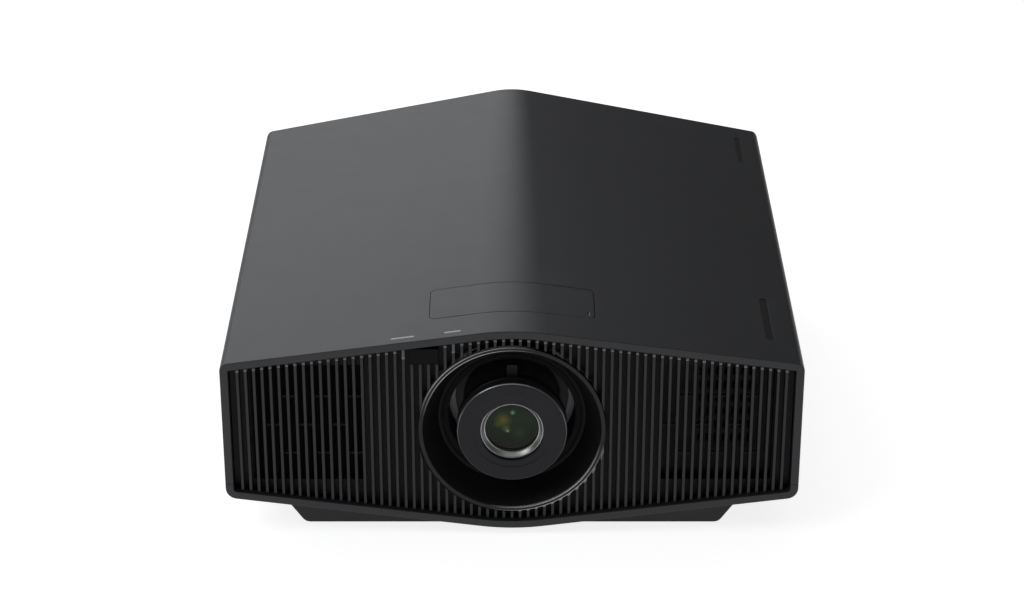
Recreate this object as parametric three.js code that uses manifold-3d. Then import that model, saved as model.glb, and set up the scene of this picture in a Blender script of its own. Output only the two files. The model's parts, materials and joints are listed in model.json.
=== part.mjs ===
// A home projector: creased cover over a V-bottomed case, finned front grille with a deep lens
// funnel, a lens on two shift carriages, laser light engine, fans, boards, terminals and feet.
// Millimetres, +Z up, the lens looks along -Y, origin on the ground under the middle of the box.
import * as THREE from 'three';
import { mergeVertices } from 'three/addons/utils/BufferGeometryUtils.js';
import Module from 'manifold-3d';

const wasm = await Module();
wasm.setup();

// ---- Driving dimensions ----------------------------------------------------------------------
// Body
const bodyWidth = 460;
const bodyDepth = 470;
const lensProud = 2; // how far the lens stands out in front of the bezel
const sideTop = 156; // height of the roof's outer corners
const sideBottom = 34.7; // height where the sides turn into the V underside
const ridgeFront = 185.6; // height of the rounded crease, at the bezel
const ridgeRear = 200;
const keelHeight = 6.3; // lowest line of the V underside
const ridgeBlendFront = 27; // half width of the rounded crease
const ridgeBlendRear = 17;
const keelBlend = 25;
const topRadius = 7;
const bottomRadius = 9.5;
const rearRadius = 8;
const wall = 3;
const seamHeight = 42.7; // joint between cover and case
const gap = 0.3; // between neighbours that touch
const loose = 0.5; // round what moves
// Bezel, grille and rear frame
const bezelWidth = 6.5;
const bezelDepth = 8;
const rearFrame = 6;
const rearFrameDepth = 10;
const panelThickness = 3;
const panelRecess = 6.5;
const finPitch = 6.56;
const finWidth = 2.4;
const finDepth = 8;
const finRecess = 3;
const finRoot = 1; // how far the fins run into the plate
const plateThickness = 2.5;
const windowFromSide = 22; // outer edge of a vent window, measured from the body's side
const windowWidth = 90;
const windowBottom = 46;
const windowTop = 150;
const bridgeRows = 3;
const bridgeFirstRow = 23; // lowest row of bridges above the window's foot
const bridgeRowPitch = 25.75;
const bridgeHeight = 2.4;
// Lens funnel and lens
const lensHeight = 96;
const rimRadius = 74.5;
const rimBand = 3.5;
const rimRecess = 1.5;
const throatStep = 8; // ledge between the cone's throat and the inner tube
const throatDepth = 26;
const tubeEnd = 56;
const funnelWall = 2.5;
const ringRadius = 44;
const ringWall = 4.1;
const ringDepth = 9;
const ringPlate = 3;
const lipRadius = 25.5;
const glassRadius = 21;
const glassDepth = 4.5;
const glassRise = 2.7;
const barrelLength = 60;
const flangeRim = 6.6;
const flangeThickness = 4;
const tailRadius = 28;
const tailLength = 36;
const zoomStart = 10;
const zoomWidth = 7;
const leverWidth = 8.5;
const leverReach = 55;
// Lens shift
const verticalShift = 5.4;
const horizontalShift = 3.4;
const shiftRoom = 5.2; // left round the barrel when it is shifted furthest
const carriageThickness = 5;
const carriageRim = 6;
const railWidth = 4.7;
const lugThickness = 3.4; // nut round the lead screw, clear of the funnel at full drop
const pinionRadius = 4;
const pinionTeeth = 10;
const dialRadius = 15;
const dialSpacing = 64;
const screwRadius = 3;
// Lid and dial tray
const lidWidth = 131;
const lidDepth = 49;
const lidFromFront = 33.5;
const lidThickness = 2.5;
const lidGap = 0.4;
const lidRadius = 5;
const trayWall = 2;
// Light engine
const housingHalf = 90;
const housingLength = 175;
const housingBottom = 44;
const housingTop = 146;
const housingWall = 4;
const cubeSize = 40;
const panelImager = 28;
const wheelRadius = 30;
const wheelThickness = 1.5;
const motorRadius = 11;
const laserDepth = 39;
const sinkDepth = 80;
const sinkFins = 12;
// Fans
const fanSize = 92;
const fanDepth = 25;
const fanFromPlate = 20;
const rotorRadius = 42.5;
const rotorHub = 16;
const blades = 7;
const bladeThickness = 1.8;
const bladeChord = 19;
const bladePitch = 0.85; // radians
// Boards
const boardThickness = 1.6;
const boardHeight = 50;
const boardWidth = 100;
const boardLength = 300;
// Base pan and feet
const panHalf = 168;
const panBottom = 3;
const panWall = 2.5;
const panSetback = 15;
const panFlare = 19.5;
const footFromSide = 90;
const footFromEnd = 55;
const footRadius = 13;
const footThickness = 2.7;
const footDiscRadius = 15;
const footDiscHeight = 4.4;
const studRadius = 4;
const studTop = 22;
// Rear panel
const ventHalf = 100; // where a rear vent field starts, measured from the middle
const ventSlots = 15;
const ventSlot = 3.6;
const ventBottom = 72;
const ventTop = 146;
const terminalWidth = 176;
const terminalBottom = 40;
const terminalTop = 66;
const terminalRecess = 8;
const inletX = -150;
const inletHeight = 55;
const controlHeight = 54;
const controlStart = 112;
const controlPitch = 22;
const buttonRadius = 5;
const buttonProud = 1;

// ---- Places that follow from the sizes -------------------------------------------------------
const halfWidth = bodyWidth / 2;
const yFront = -(bodyDepth + lensProud) / 2 + lensProud;
const yRear = yFront + bodyDepth;
const yLens = yFront - lensProud;
const yFin = yFront + finRecess;
const yPlate = yFin + finDepth;
const yPlateBack = yPlate + plateThickness;
const yPanel = yRear - panelRecess; // outer face of the rear panel
const barrelRadius = ringRadius - ringWall - loose;
const flangeRadius = barrelRadius + flangeRim;
const tubeRadius = barrelRadius + Math.hypot(verticalShift, horizontalShift) + shiftRoom;
const throatRadius = tubeRadius + throatStep;
const carriageHalf = flangeRadius + carriageRim;
const carriageTop = lensHeight + carriageHalf + loose + railWidth;
const carriageBottom = 2 * lensHeight - carriageTop;
const verticalHalf = carriageHalf + horizontalShift + loose + 6;
const mountHalf = verticalHalf + loose + 5;
const mountTop = carriageTop + 5;
const trayFloor = mountTop + 0.8;
const windowOuter = halfWidth - windowFromSide;
const windowMiddle = windowOuter - windowWidth / 2;
const windowInner = windowOuter - windowWidth;
const fanZ = (windowBottom + windowTop) / 2;
const far = 1000;

// ---- Shape helpers ---------------------------------------------------------------------------
function signedVolume(positions, triangles) {
  let volume = 0;
  const [a, b, c] = [new THREE.Vector3(), new THREE.Vector3(), new THREE.Vector3()];
  for (let i = 0; i < triangles.length; i += 3) {
    a.fromArray(positions, 3 * triangles[i]);
    b.fromArray(positions, 3 * triangles[i + 1]);
    c.fromArray(positions, 3 * triangles[i + 2]);
    volume += a.dot(b.cross(c)) / 6;
  }
  return volume;
}

// A closed three.js geometry as a manifold solid, faces turned outwards.
function solid(geometry) {
  geometry.deleteAttribute('normal');
  geometry.deleteAttribute('uv');
  const merged = mergeVertices(geometry);
  const vertProperties = new Float32Array(merged.attributes.position.array);
  const triVerts = new Uint32Array(merged.index.array);
  if (signedVolume(vertProperties, triVerts) < 0) {
    for (let i = 0; i < triVerts.length; i += 3) {
      [triVerts[i], triVerts[i + 1]] = [triVerts[i + 1], triVerts[i]];
    }
  }
  return new wasm.Manifold(new wasm.Mesh({ numProp: 3, vertProperties, triVerts }));
}

function joined(...solids) {
  return solids.reduce((whole, piece) => whole.add(piece));
}

function box(x0, x1, y0, y1, z0, z1) {
  const geometry = new THREE.BoxGeometry(x1 - x0, y1 - y0, z1 - z0);
  geometry.translate((x0 + x1) / 2, (y0 + y1) / 2, (z0 + z1) / 2);
  return solid(geometry);
}

// A ring or disc about the Y line through (x, z), from [radius, y] points in order.
function turnedY(profile, x = 0, z = lensHeight, sides = 32) {
  const points = profile.map(([radius, y]) => new THREE.Vector2(radius, y));
  const geometry = new THREE.LatheGeometry(points, sides);
  geometry.translate(x, 0, z);
  return solid(geometry);
}

// The same about the vertical line through (x, y), from [radius, z] points.
function turnedZ(profile, x, y, sides = 24) {
  const points = profile.map(([radius, z]) => new THREE.Vector2(radius, z));
  const geometry = new THREE.LatheGeometry(points, sides);
  geometry.rotateX(Math.PI / 2);
  geometry.translate(x, y, 0);
  return solid(geometry);
}

function rodY(radius, y0, y1, x, z, sides = 24) {
  return turnedY([[0, y0], [radius, y0], [radius, y1], [0, y1]], x, z, sides);
}

function rodZ(radius, z0, z1, x, y, sides = 24) {
  return turnedZ([[0, z0], [radius, z0], [radius, z1], [0, z1]], x, y, sides);
}

// Replaces each corner of a closed outline by an arc of its radius.
function rounded(corners, radii, steps) {
  const points = [];
  corners.forEach((corner, i) => {
    const before = corners[(i + corners.length - 1) % corners.length];
    const after = corners[(i + 1) % corners.length];
    const toBefore = before.clone().sub(corner).normalize();
    const toAfter = after.clone().sub(corner).normalize();
    const half = Math.acos(THREE.MathUtils.clamp(toBefore.dot(toAfter), -1, 1)) / 2;
    const toCentre = toBefore.clone().add(toAfter).normalize();
    const centre = corner.clone().addScaledVector(toCentre, radii[i] / Math.sin(half));
    const start = corner.clone().addScaledVector(toBefore, radii[i] / Math.tan(half)).sub(centre);
    const sweep = (Math.PI - 2 * half) * Math.sign(toAfter.cross(toBefore));
    for (let step = 0; step <= steps; step++) {
      points.push(start.clone().rotateAround(new THREE.Vector2(), (sweep * step) / steps).add(centre));
    }
  });
  return points;
}

function rectangle(x0, x1, z0, z1) {
  return [[x0, z0], [x1, z0], [x1, z1], [x0, z1]].map(([x, z]) => new THREE.Vector2(x, z));
}

// Drops the points of an outline that lie on a straight stretch.
function straightened(outline) {
  return outline.filter((point, i) => {
    const before = outline[(i + outline.length - 1) % outline.length];
    const after = outline[(i + 1) % outline.length];
    return Math.abs(after.clone().sub(before).cross(point.clone().sub(before))) > 1e-3;
  });
}

// An outline of (x, z) points carried along Y.
function prismY(outline, y0, y1) {
  const shape = new THREE.Shape(straightened(outline));
  const geometry = new THREE.ExtrudeGeometry(shape, { depth: y1 - y0, bevelEnabled: false });
  geometry.rotateX(Math.PI / 2);
  geometry.translate(0, y1, 0);
  return solid(geometry);
}

// An outline of (x, y) points carried along Z.
function prismZ(outline, z0, z1) {
  const shape = new THREE.Shape(outline);
  const geometry = new THREE.ExtrudeGeometry(shape, { depth: z1 - z0, bevelEnabled: false });
  geometry.translate(0, 0, z0);
  return solid(geometry);
}

// A skin through outlines that have the same number of points, closed by flat ends.
function loft(sections) {
  const count = sections[0].outline.length;
  const positions = sections.flatMap(({ y, outline }) => outline.flatMap((p) => [p.x, y, p.y]));
  const triangles = [];
  for (let s = 0; s + 1 < sections.length; s++) {
    for (let i = 0; i < count; i++) {
      const [a, b] = [s * count + i, s * count + ((i + 1) % count)];
      triangles.push(a, b, b + count, a, b + count, a + count);
    }
  }
  const last = (sections.length - 1) * count;
  const outline = sections[0].outline;
  const clockwise = THREE.ShapeUtils.isClockWise(outline);
  for (const face of THREE.ShapeUtils.triangulateShape(outline, [])) {
    const flipped = THREE.ShapeUtils.isClockWise(face.map((i) => outline[i])) !== clockwise;
    const [a, b, c] = flipped ? face.reverse() : face;
    triangles.push(a, c, b);
    triangles.push(last + a, last + b, last + c);
  }
  const geometry = new THREE.BufferGeometry();
  geometry.setAttribute('position', new THREE.Float32BufferAttribute(positions, 3));
  geometry.setIndex(triangles);
  return solid(geometry);
}

// ---- Body outline ----------------------------------------------------------------------------
// The hexagon at depth y drawn in by inset, with the crease, keel and corners rounded.
function bodyOutline(y, inset = 0) {
  const along = (y - yFront) / bodyDepth;
  const crown = THREE.MathUtils.lerp(ridgeFront, ridgeRear, along);
  const blend = THREE.MathUtils.lerp(ridgeBlendFront, ridgeBlendRear, along);
  const apex = sideTop + (crown - sideTop) / (1 - blend / bodyWidth);
  const keel = sideBottom - (sideBottom - keelHeight) / (1 - keelBlend / bodyWidth);
  const roofSlope = (apex - sideTop) / halfWidth;
  const keelSlope = (sideBottom - keel) / halfWidth;
  const side = halfWidth - inset;
  const roof = (x) => apex - roofSlope * Math.abs(x) - inset * Math.hypot(1, roofSlope);
  const floor = (x) => keel + keelSlope * Math.abs(x) + inset * Math.hypot(1, keelSlope);
  const xs = [0, side / 3, (2 * side) / 3, side];
  const right = [
    ...xs.map((x) => new THREE.Vector2(x, roof(x))),
    new THREE.Vector2(side, floor(side)),
    new THREE.Vector2(0, floor(0)),
  ];
  const left = [4, 3, 2, 1].map((i) => new THREE.Vector2(-right[i].x, right[i].y));
  const corners = [...right, ...left];
  const top = Math.max(topRadius - inset, 0.5);
  const bottom = Math.max(bottomRadius - inset, 0.5);
  const straight = 0.01;
  const radii = [
    blend / roofSlope, straight, straight, top, bottom, keelBlend / keelSlope,
    bottom, top, straight, straight,
  ];
  return roundedEach(corners, radii);
}

// Rounded corners with more steps on the broad bends, and one point on the straight stretches.
function roundedEach(corners, radii) {
  const steps = 3;
  const all = rounded(corners, radii, steps);
  return all.filter((point, i) => radii[Math.floor(i / (steps + 1))] > 0.01 || i % (steps + 1) === 0);
}

function bodySolid(inset, y0, y1, outerEnds = false) {
  const ys = [0, 1 / 3, 2 / 3, 1].map((t) => y0 + t * (y1 - y0));
  const sections = ys.map((y) => ({ y, outline: bodyOutline(y, inset) }));
  if (outerEnds) {
    for (const angle of [45, 90].map(THREE.MathUtils.degToRad)) {
      const y = y1 + rearRadius * Math.sin(angle);
      const drawnIn = inset + rearRadius * (1 - Math.cos(angle));
      sections.push({ y, outline: bodyOutline(y, drawnIn) });
    }
  }
  return loft(sections);
}

// Lowest and highest point of the body's outline at x.
function outlineSpan(x, y, inset = 0) {
  const outline = bodyOutline(y, inset);
  const heights = [];
  outline.forEach((a, i) => {
    const b = outline[(i + 1) % outline.length];
    if (a.x !== b.x && (x - a.x) * (x - b.x) <= 0) {
      heights.push(THREE.MathUtils.lerp(a.y, b.y, (x - a.x) / (b.x - a.x)));
    }
  });
  return [Math.min(...heights), Math.max(...heights)];
}

function roofHeight(x, y) {
  return outlineSpan(x, y)[1];
}

function underside(x) {
  return sideBottom - ((halfWidth - Math.abs(x)) * (sideBottom - keelHeight)) / halfWidth;
}

// ---- Assembly --------------------------------------------------------------------------------
const projector = new THREE.Group();

const looks = {
  shell: [0x2c2d30, 0.62, 0.0],
  grille: [0x1b1c1e, 0.5, 0.0],
  black: [0x101113, 0.55, 0.0],
  metal: [0x9a9da1, 0.35, 1.0],
  darkMetal: [0x3a3b3e, 0.4, 0.9],
  castAlloy: [0x85888c, 0.55, 0.9],
  board: [0x1f5b34, 0.5, 0.0],
  rubber: [0x161616, 0.85, 0.0],
  glass: [0x6fae5e, 0.05, 0.0],
  lamp: [0x6b7078, 0.3, 0.0],
  phosphor: [0xd9c24a, 0.5, 0.0],
};

function part(name, shape, look) {
  const source = shape.getMesh();
  const geometry = new THREE.BufferGeometry();
  geometry.setAttribute('position', new THREE.Float32BufferAttribute(source.vertProperties, 3));
  geometry.setIndex(new THREE.Uint32BufferAttribute(source.triVerts, 1));
  geometry.computeVertexNormals();
  const [color, roughness, metalness] = looks[look];
  const material = new THREE.MeshStandardMaterial({ color, roughness, metalness });
  const mesh = new THREE.Mesh(geometry, material);
  mesh.name = name;
  projector.add(mesh);
  return shape;
}

const sides = [['left', -1], ['right', 1]];

// ---- Shells ----------------------------------------------------------------------------------
const lidY0 = yFront + lidFromFront;
const lidY1 = lidY0 + lidDepth;
const lidY = (lidY0 + lidY1) / 2;

function lidPrism(grow, z0, z1) {
  const half = lidWidth / 2 + grow;
  const corners = rectangle(-half, half, lidY0 - grow, lidY1 + grow);
  return prismZ(rounded(corners, Array(4).fill(lidRadius + grow), 3), z0, z1);
}

const inside = bodySolid(wall, yFront + bezelDepth, yRear - rearFrameDepth);
const frontOpening = prismY(bodyOutline(yFront, bezelWidth), yFront - 1, yFront + bezelDepth + 1);
const rearOutline = (inset) => bodyOutline(yRear - rearFrameDepth, rearRadius + rearFrame + inset);
const rearOpening = prismY(rearOutline(0), yRear - rearFrameDepth - 1, yRear + 1);
const shell = bodySolid(0, yFront, yRear - rearRadius, true)
  .subtract(inside)
  .subtract(frontOpening)
  .subtract(rearOpening);

part(
  'top_cover',
  shell
    .intersect(box(-far, far, -far, far, seamHeight + gap / 2, far))
    .subtract(lidPrism(lidGap, trayFloor, far)),
  'shell',
);

const lidSkin = bodySolid(0, yFront, yRear).subtract(bodySolid(lidThickness, yFront - 1, yRear + 1));
const lidEdge = roofHeight(lidWidth / 2, lidY);
const hooks = [-12, 12].map((y) =>
  box(-lidWidth / 2 + 1, -lidWidth / 2 + 9, lidY + y - 3, lidY + y + 3, lidEdge - 6, lidEdge - 1),
);
const catchTab = box(lidWidth / 2 - 6, lidWidth / 2 - 3, lidY - 5, lidY + 5, lidEdge - 7, lidEdge - 1);
part('shift_lid', joined(lidSkin.intersect(lidPrism(0, trayFloor, far)), ...hooks, catchTab), 'shell');

// Dial tray hung under the lid's opening
const dialX = dialSpacing / 2;
const yVertical = yLens + barrelLength + flangeThickness + gap; // front of the horizontal carriage
const yRack = yVertical - 5; // pitch line of the rack
const dialY = yRack - pinionRadius;
const trayHalf = lidWidth / 2 + 4;
const trayRim = roofHeight(trayHalf + trayWall, lidY0) - wall - gap - 0.4;
const trayOuter = box(
  -trayHalf - trayWall, trayHalf + trayWall, lidY0 - 4, lidY1 + 4, trayFloor, trayRim,
);
const trayInner = box(
  -trayHalf, trayHalf, lidY0 - 4 + trayWall, lidY1 + 4 - trayWall, trayFloor + trayWall, far,
);
const dialHoles = joined(
  rodZ(screwRadius + 1 + loose, 0, far, -dialX, dialY),
  rodZ(pinionRadius + 1 + loose, 0, far, dialX, dialY),
);
part('dial_tray', trayOuter.subtract(trayInner).subtract(dialHoles), 'black');

// Lower case with posts under the engine, the boards and the fans
const housingY0 = yLens + barrelLength + flangeThickness + 4 * gap + 2 * carriageThickness + 6;
const boardY0 = yFront + 84;
const boardInner = windowMiddle - boardWidth / 2;
const fanPostHalf = 9;
const posts = [];
function post(x, y, top, half = 4) {
  posts.push(box(x - half, x + half, y - half, y + half, underside(x) + wall / 2, top - gap));
}
for (const [, side] of sides) {
  for (const y of [housingY0 + 20, housingY0 + housingLength - 20]) {
    post(side * (housingHalf - 12), y, housingBottom);
  }
  for (const y of [boardY0 + 12, boardY0 + boardLength - 12]) {
    post(side * (boardInner + 8), y, boardHeight);
    post(side * (boardInner + boardWidth - 8), y, boardHeight);
  }
  post(side * windowMiddle, yPlateBack + fanFromPlate + fanDepth / 2, fanZ - fanSize / 2, fanPostHalf);
}
part(
  'bottom_case',
  joined(shell.intersect(box(-far, far, -far, far, -far, seamHeight - gap / 2)), ...posts),
  'shell',
);

// ---- Front grille ----------------------------------------------------------------------------
const finCount = Math.floor((halfWidth - bezelWidth - finWidth / 2 - 1) / finPitch);
const fins = [];
for (let i = -finCount; i <= finCount; i++) {
  const x = i * finPitch;
  const [low, high] = outlineSpan(Math.abs(x) + finWidth / 2, yFront, bezelWidth + gap);
  fins.push(box(x - finWidth / 2, x + finWidth / 2, yFin, yPlate + finRoot, low + 0.2, high - 0.2));
}
let plate = prismY(bodyOutline(yFront, bezelWidth + gap), yPlate, yPlateBack);
const bridges = [];
for (const [, side] of sides) {
  const [x0, x1] = [side * windowInner, side * windowOuter].sort((a, b) => a - b);
  plate = plate.subtract(box(x0, x1, yPlate - 1, yPlateBack + 1, windowBottom, windowTop));
  for (let row = 0; row < bridgeRows; row++) {
    const z = windowBottom + bridgeFirstRow + row * bridgeRowPitch;
    for (let i = Math.ceil(x0 / finPitch); (i + 2) * finPitch <= x1; i++) {
      // Each bridge spans two gaps and skips two, and every other row is set over by two.
      if (THREE.MathUtils.euclideanModulo(i + 2 * row, 4) === 0) {
        bridges.push(
          box(i * finPitch, (i + 2) * finPitch, yPlate + 0.2, yPlateBack - 0.2, z, z + bridgeHeight),
        );
      }
    }
  }
}

// Remote-control window under the top of the bezel, and a light guide on each side of it
const irX = -10.5 * finPitch;
const irHalf = 1.7 * finPitch;
const irHeight = 13;
const irTop = roofHeight(irX - irHalf, yFront) - bezelWidth - 1.4;
const irBox = (grow) => box(
  irX - irHalf - grow, irX + irHalf + grow, yFin - grow, yPlate - 1 + grow,
  irTop - irHeight - grow, irTop + grow,
);
const guides = [['power_light_guide', -13], ['warning_light_guide', -7]]; // the fin each one tops
const guideHalf = 1.1;
const guideHeight = 7;
const guideBox = (fin, grow) => {
  const x = fin * finPitch;
  const top = roofHeight(x, yFront) - bezelWidth - 1.2;
  return box(
    x - guideHalf - grow, x + guideHalf + grow, yFin - 1 - grow, yFin + 3 + grow,
    top - guideHeight - grow, top + grow,
  );
};
const irCut = irBox(gap)
  .add(box(irX - irHalf - gap, irX + irHalf + gap, yFin - 1, yFin + 1, irTop, irTop + 8));
let grille = joined(plate, ...fins, ...bridges)
  .subtract(rodY(rimRadius + gap, yFront - 1, yPlateBack + 1, 0, lensHeight, 32))
  .subtract(irCut);
for (const [name, fin] of guides) {
  grille = grille.subtract(guideBox(fin, gap));
  part(name, guideBox(fin, 0), 'lamp');
}
part('front_grille', grille, 'grille');
part('ir_window', irBox(0), 'black');

// Perforated screen behind the right vent window
const screenY = yPlateBack + 6;
const screenThickness = 1.5;
const screenMargin = 2;
const screenBottom = windowBottom - screenMargin;
let screen = box(
  windowInner - screenMargin, windowOuter + screenMargin, screenY, screenY + screenThickness,
  screenBottom, windowTop,
);
const holeColumns = 7;
const holeRows = 6;
const holePitchZ = 12;
const holeHalfWidth = 2.4;
const holeHalfHeight = 3.5;
const holeX0 = windowMiddle + 8 - ((holeColumns - 1) / 2) * finPitch;
for (let column = 0; column < holeColumns; column++) {
  for (let row = 0; row < holeRows; row++) {
    const x = holeX0 + column * finPitch;
    const z = windowTop - 10 - row * holePitchZ;
    screen = screen.subtract(box(
      x - holeHalfWidth, x + holeHalfWidth, screenY - 1, screenY + screenThickness + 1,
      z - holeHalfHeight, z + holeHalfHeight,
    ));
  }
}
for (const x of [windowInner - screenMargin, windowOuter]) {
  screen = screen.add(box(
    x, x + screenMargin, yPlateBack + gap, screenY + screenThickness, screenBottom, windowTop,
  ));
}
part('exhaust_screen', screen, 'metal');

// Lens funnel: rim, cone and tube
part(
  'lens_funnel',
  turnedY(
    [
      [rimRadius, rimRecess], [rimRadius - rimBand, rimRecess], [throatRadius, throatDepth],
      [tubeRadius, throatDepth + 1], [tubeRadius, tubeEnd], [tubeRadius + funnelWall, tubeEnd],
      [tubeRadius + funnelWall, throatDepth + 4], [throatRadius + funnelWall, throatDepth + 3],
      [rimRadius - 1, rimRecess + 5], [rimRadius, rimRecess + 4], [rimRadius, rimRecess],
    ].map(([r, y]) => [r, yFront + y]),
    0, lensHeight, 32,
  ),
  'black',
);

// ---- Lens ------------------------------------------------------------------------------------
const onLens = (profile) => profile.map(([r, y]) => [r, yLens + y]);
part(
  'focus_ring',
  turnedY(onLens([
    [lipRadius, 0], [ringRadius - 1.2, 0], [ringRadius, 1.2], [ringRadius, ringDepth],
    [barrelRadius + loose, ringDepth], [barrelRadius + loose, ringPlate], [lipRadius, ringPlate],
    [lipRadius, 0],
  ])),
  'darkMetal',
);
const lever = box(
  -leverWidth / 2, leverWidth / 2, yLens + zoomStart + 1, yLens + zoomStart + zoomWidth - 1,
  lensHeight + ringRadius - 1.5, lensHeight + leverReach,
);
part(
  'zoom_ring',
  turnedY(onLens([
    [barrelRadius + loose, zoomStart], [ringRadius - 1, zoomStart], [ringRadius, zoomStart + 1],
    [ringRadius, zoomStart + zoomWidth], [barrelRadius + loose, zoomStart + zoomWidth],
    [barrelRadius + loose, zoomStart],
  ])).add(lever),
  'darkMetal',
);
const retainerRadius = lipRadius - 0.6;
const seatDepth = glassDepth + glassRise + 2.3;
part(
  'glass_retainer',
  turnedY(onLens([
    [glassRadius + gap, seatDepth - 2.5], [retainerRadius, ringPlate + 0.6],
    [retainerRadius, seatDepth], [glassRadius + gap, seatDepth], [glassRadius + gap, seatDepth - 2.5],
  ])),
  'metal',
);
const glassCurve = [];
for (let step = 0; step <= 4; step++) {
  const t = step / 4;
  glassCurve.push([glassRadius * t, glassDepth + glassRise * t * t]);
}
part(
  'front_glass',
  turnedY(onLens([...glassCurve, [glassRadius, seatDepth], [0, seatDepth + 2]]), 0, lensHeight, 32),
  'glass',
);
const bore = tailRadius - 4;
part(
  'lens_barrel',
  turnedY(onLens([
    [retainerRadius + gap, ringPlate + gap + 0.2], [barrelRadius, ringPlate + gap + 0.2],
    [barrelRadius, barrelLength], [flangeRadius, barrelLength],
    [flangeRadius, barrelLength + flangeThickness], [tailRadius, barrelLength + flangeThickness],
    [tailRadius, barrelLength + flangeThickness + tailLength],
    [bore, barrelLength + flangeThickness + tailLength], [bore, seatDepth + 6],
    [glassRadius - 3, seatDepth + 6], [glassRadius - 3, seatDepth + 2.5],
    [retainerRadius + gap, seatDepth + 2.5], [retainerRadius + gap, ringPlate + gap + 0.2],
  ]), 0, lensHeight, 24),
  'black',
);
const tailEnd = barrelLength + flangeThickness + tailLength;
part(
  'rear_glass',
  turnedY(onLens([
    [0, tailEnd - 8], [bore - gap, tailEnd - 6], [bore - gap, tailEnd - 3], [0, tailEnd - 1],
  ]), 0, lensHeight, 24),
  'glass',
);

// ---- Shift carriages -------------------------------------------------------------------------
const yHorizontal0 = yVertical;
const yHorizontal1 = yHorizontal0 + carriageThickness;
const yVertical0 = yHorizontal1 + gap;
const yVertical1 = yVertical0 + carriageThickness;
const yMount0 = yVertical1 + gap;
const yMount1 = yMount0 + 6;
const toothPitch = (2 * Math.PI * pinionRadius) / pinionTeeth;
const toothHeight = 0.7;
const rackTooth = 0.36 * toothPitch;
const rackBottom = lensHeight + flangeRadius - 1;
const rackTop = carriageTop;
const rackHalf = 18;
let carriage = box(
  -carriageHalf, carriageHalf, yHorizontal0, yHorizontal1,
  lensHeight - carriageHalf, lensHeight + carriageHalf,
).subtract(rodY(tailRadius + loose, yHorizontal0 - 1, yHorizontal1 + 1, 0, lensHeight, 32));
carriage = joined(
  carriage,
  box(
    dialX - rackHalf, dialX + rackHalf, yHorizontal0 - 1, yHorizontal0 + 1,
    rackBottom, lensHeight + carriageHalf - 1,
  ),
  box(dialX - rackHalf, dialX + rackHalf, yRack + 1, yHorizontal0 - 0.4, rackBottom, rackTop),
);
for (let tooth = -5; tooth <= 5; tooth++) {
  const x = dialX + (tooth + 0.5) * toothPitch;
  carriage = carriage.add(
    box(x - rackTooth / 2, x + rackTooth / 2, yRack - toothHeight, yRack + 1.5, rackBottom, rackTop),
  );
}
part('horizontal_carriage', carriage, 'castAlloy');

const verticalHole = tailRadius + horizontalShift + 1;
const lug = box(
  -dialX - 8, -dialX + 8, dialY - 7, yVertical1, carriageTop - lugThickness, carriageTop,
).subtract(rodZ(screwRadius + loose, 0, far, -dialX, dialY));
part(
  'vertical_carriage',
  joined(
    box(-verticalHalf, verticalHalf, yVertical0, yVertical1, carriageBottom, carriageTop)
      .subtract(rodY(verticalHole, yVertical0 - 1, yVertical1 + 1, 0, lensHeight, 32)),
    box(
      -verticalHalf, verticalHalf, yHorizontal0, yVertical1,
      carriageBottom, carriageBottom + railWidth,
    ),
    box(-verticalHalf, verticalHalf, yHorizontal0, yVertical1, carriageTop - railWidth, carriageTop),
    lug,
  ),
  'castAlloy',
);
const mountBottom = 2 * lensHeight - mountTop;
const mountHole = tailRadius + Math.hypot(horizontalShift, verticalShift) + 1.5;
part(
  'lens_mount_plate',
  joined(
    box(-mountHalf, mountHalf, yMount0, yMount1, mountBottom, mountTop)
      .subtract(rodY(mountHole, yMount0 - 1, yMount1 + 1, 0, lensHeight, 32)),
    ...sides.map(([, side]) => {
      const [x0, x1] = [side * (verticalHalf + loose), side * mountHalf].sort((a, b) => a - b);
      return box(x0, x1, yVertical0, yMount1, mountBottom, mountTop);
    }),
  ),
  'castAlloy',
);

// Shift dials: a screw lifts the vertical carriage, a pinion drives the rack sideways
const dialBottom = trayFloor + trayWall + loose;
const dialTop = trayRim + 0.5;
function dial(x) {
  const knurl = [];
  const ridges = 24;
  for (let i = 0; i < 2 * ridges; i++) {
    const angle = (Math.PI * i) / ridges;
    const radius = dialRadius - (i % 2) * 0.9;
    knurl.push(new THREE.Vector2(x + radius * Math.cos(angle), dialY + radius * Math.sin(angle)));
  }
  return prismZ(knurl, dialBottom, dialTop);
}
part('vertical_shift_dial', dial(-dialX), 'grille');
part(
  'vertical_screw',
  rodZ(screwRadius, carriageTop - railWidth - verticalShift, dialBottom - gap, -dialX, dialY, 16),
  'metal',
);
// One tooth: its share of a pitch either side of the middle, and its height about the pitch line.
const toothTip = toothHeight - 0.1;
const toothRoot = -toothHeight - 0.2;
const toothShape = [[-0.26, toothRoot], [-0.09, toothTip], [0.09, toothTip], [0.26, toothRoot]];
const pinionOutline = [];
for (let i = 0; i < pinionTeeth; i++) {
  for (const [turn, radius] of toothShape) {
    const angle = Math.PI / 2 + (2 * Math.PI * (i + turn)) / pinionTeeth;
    const reach = pinionRadius + radius;
    const [x, y] = [dialX + reach * Math.cos(angle), dialY + reach * Math.sin(angle)];
    pinionOutline.push(new THREE.Vector2(x, y));
  }
}
const pinionBottom = lensHeight + carriageHalf - 5;
const pinion = prismZ(pinionOutline, pinionBottom, dialBottom + 1);
part('horizontal_shift_dial', joined(dial(dialX), pinion), 'grille');

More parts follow.
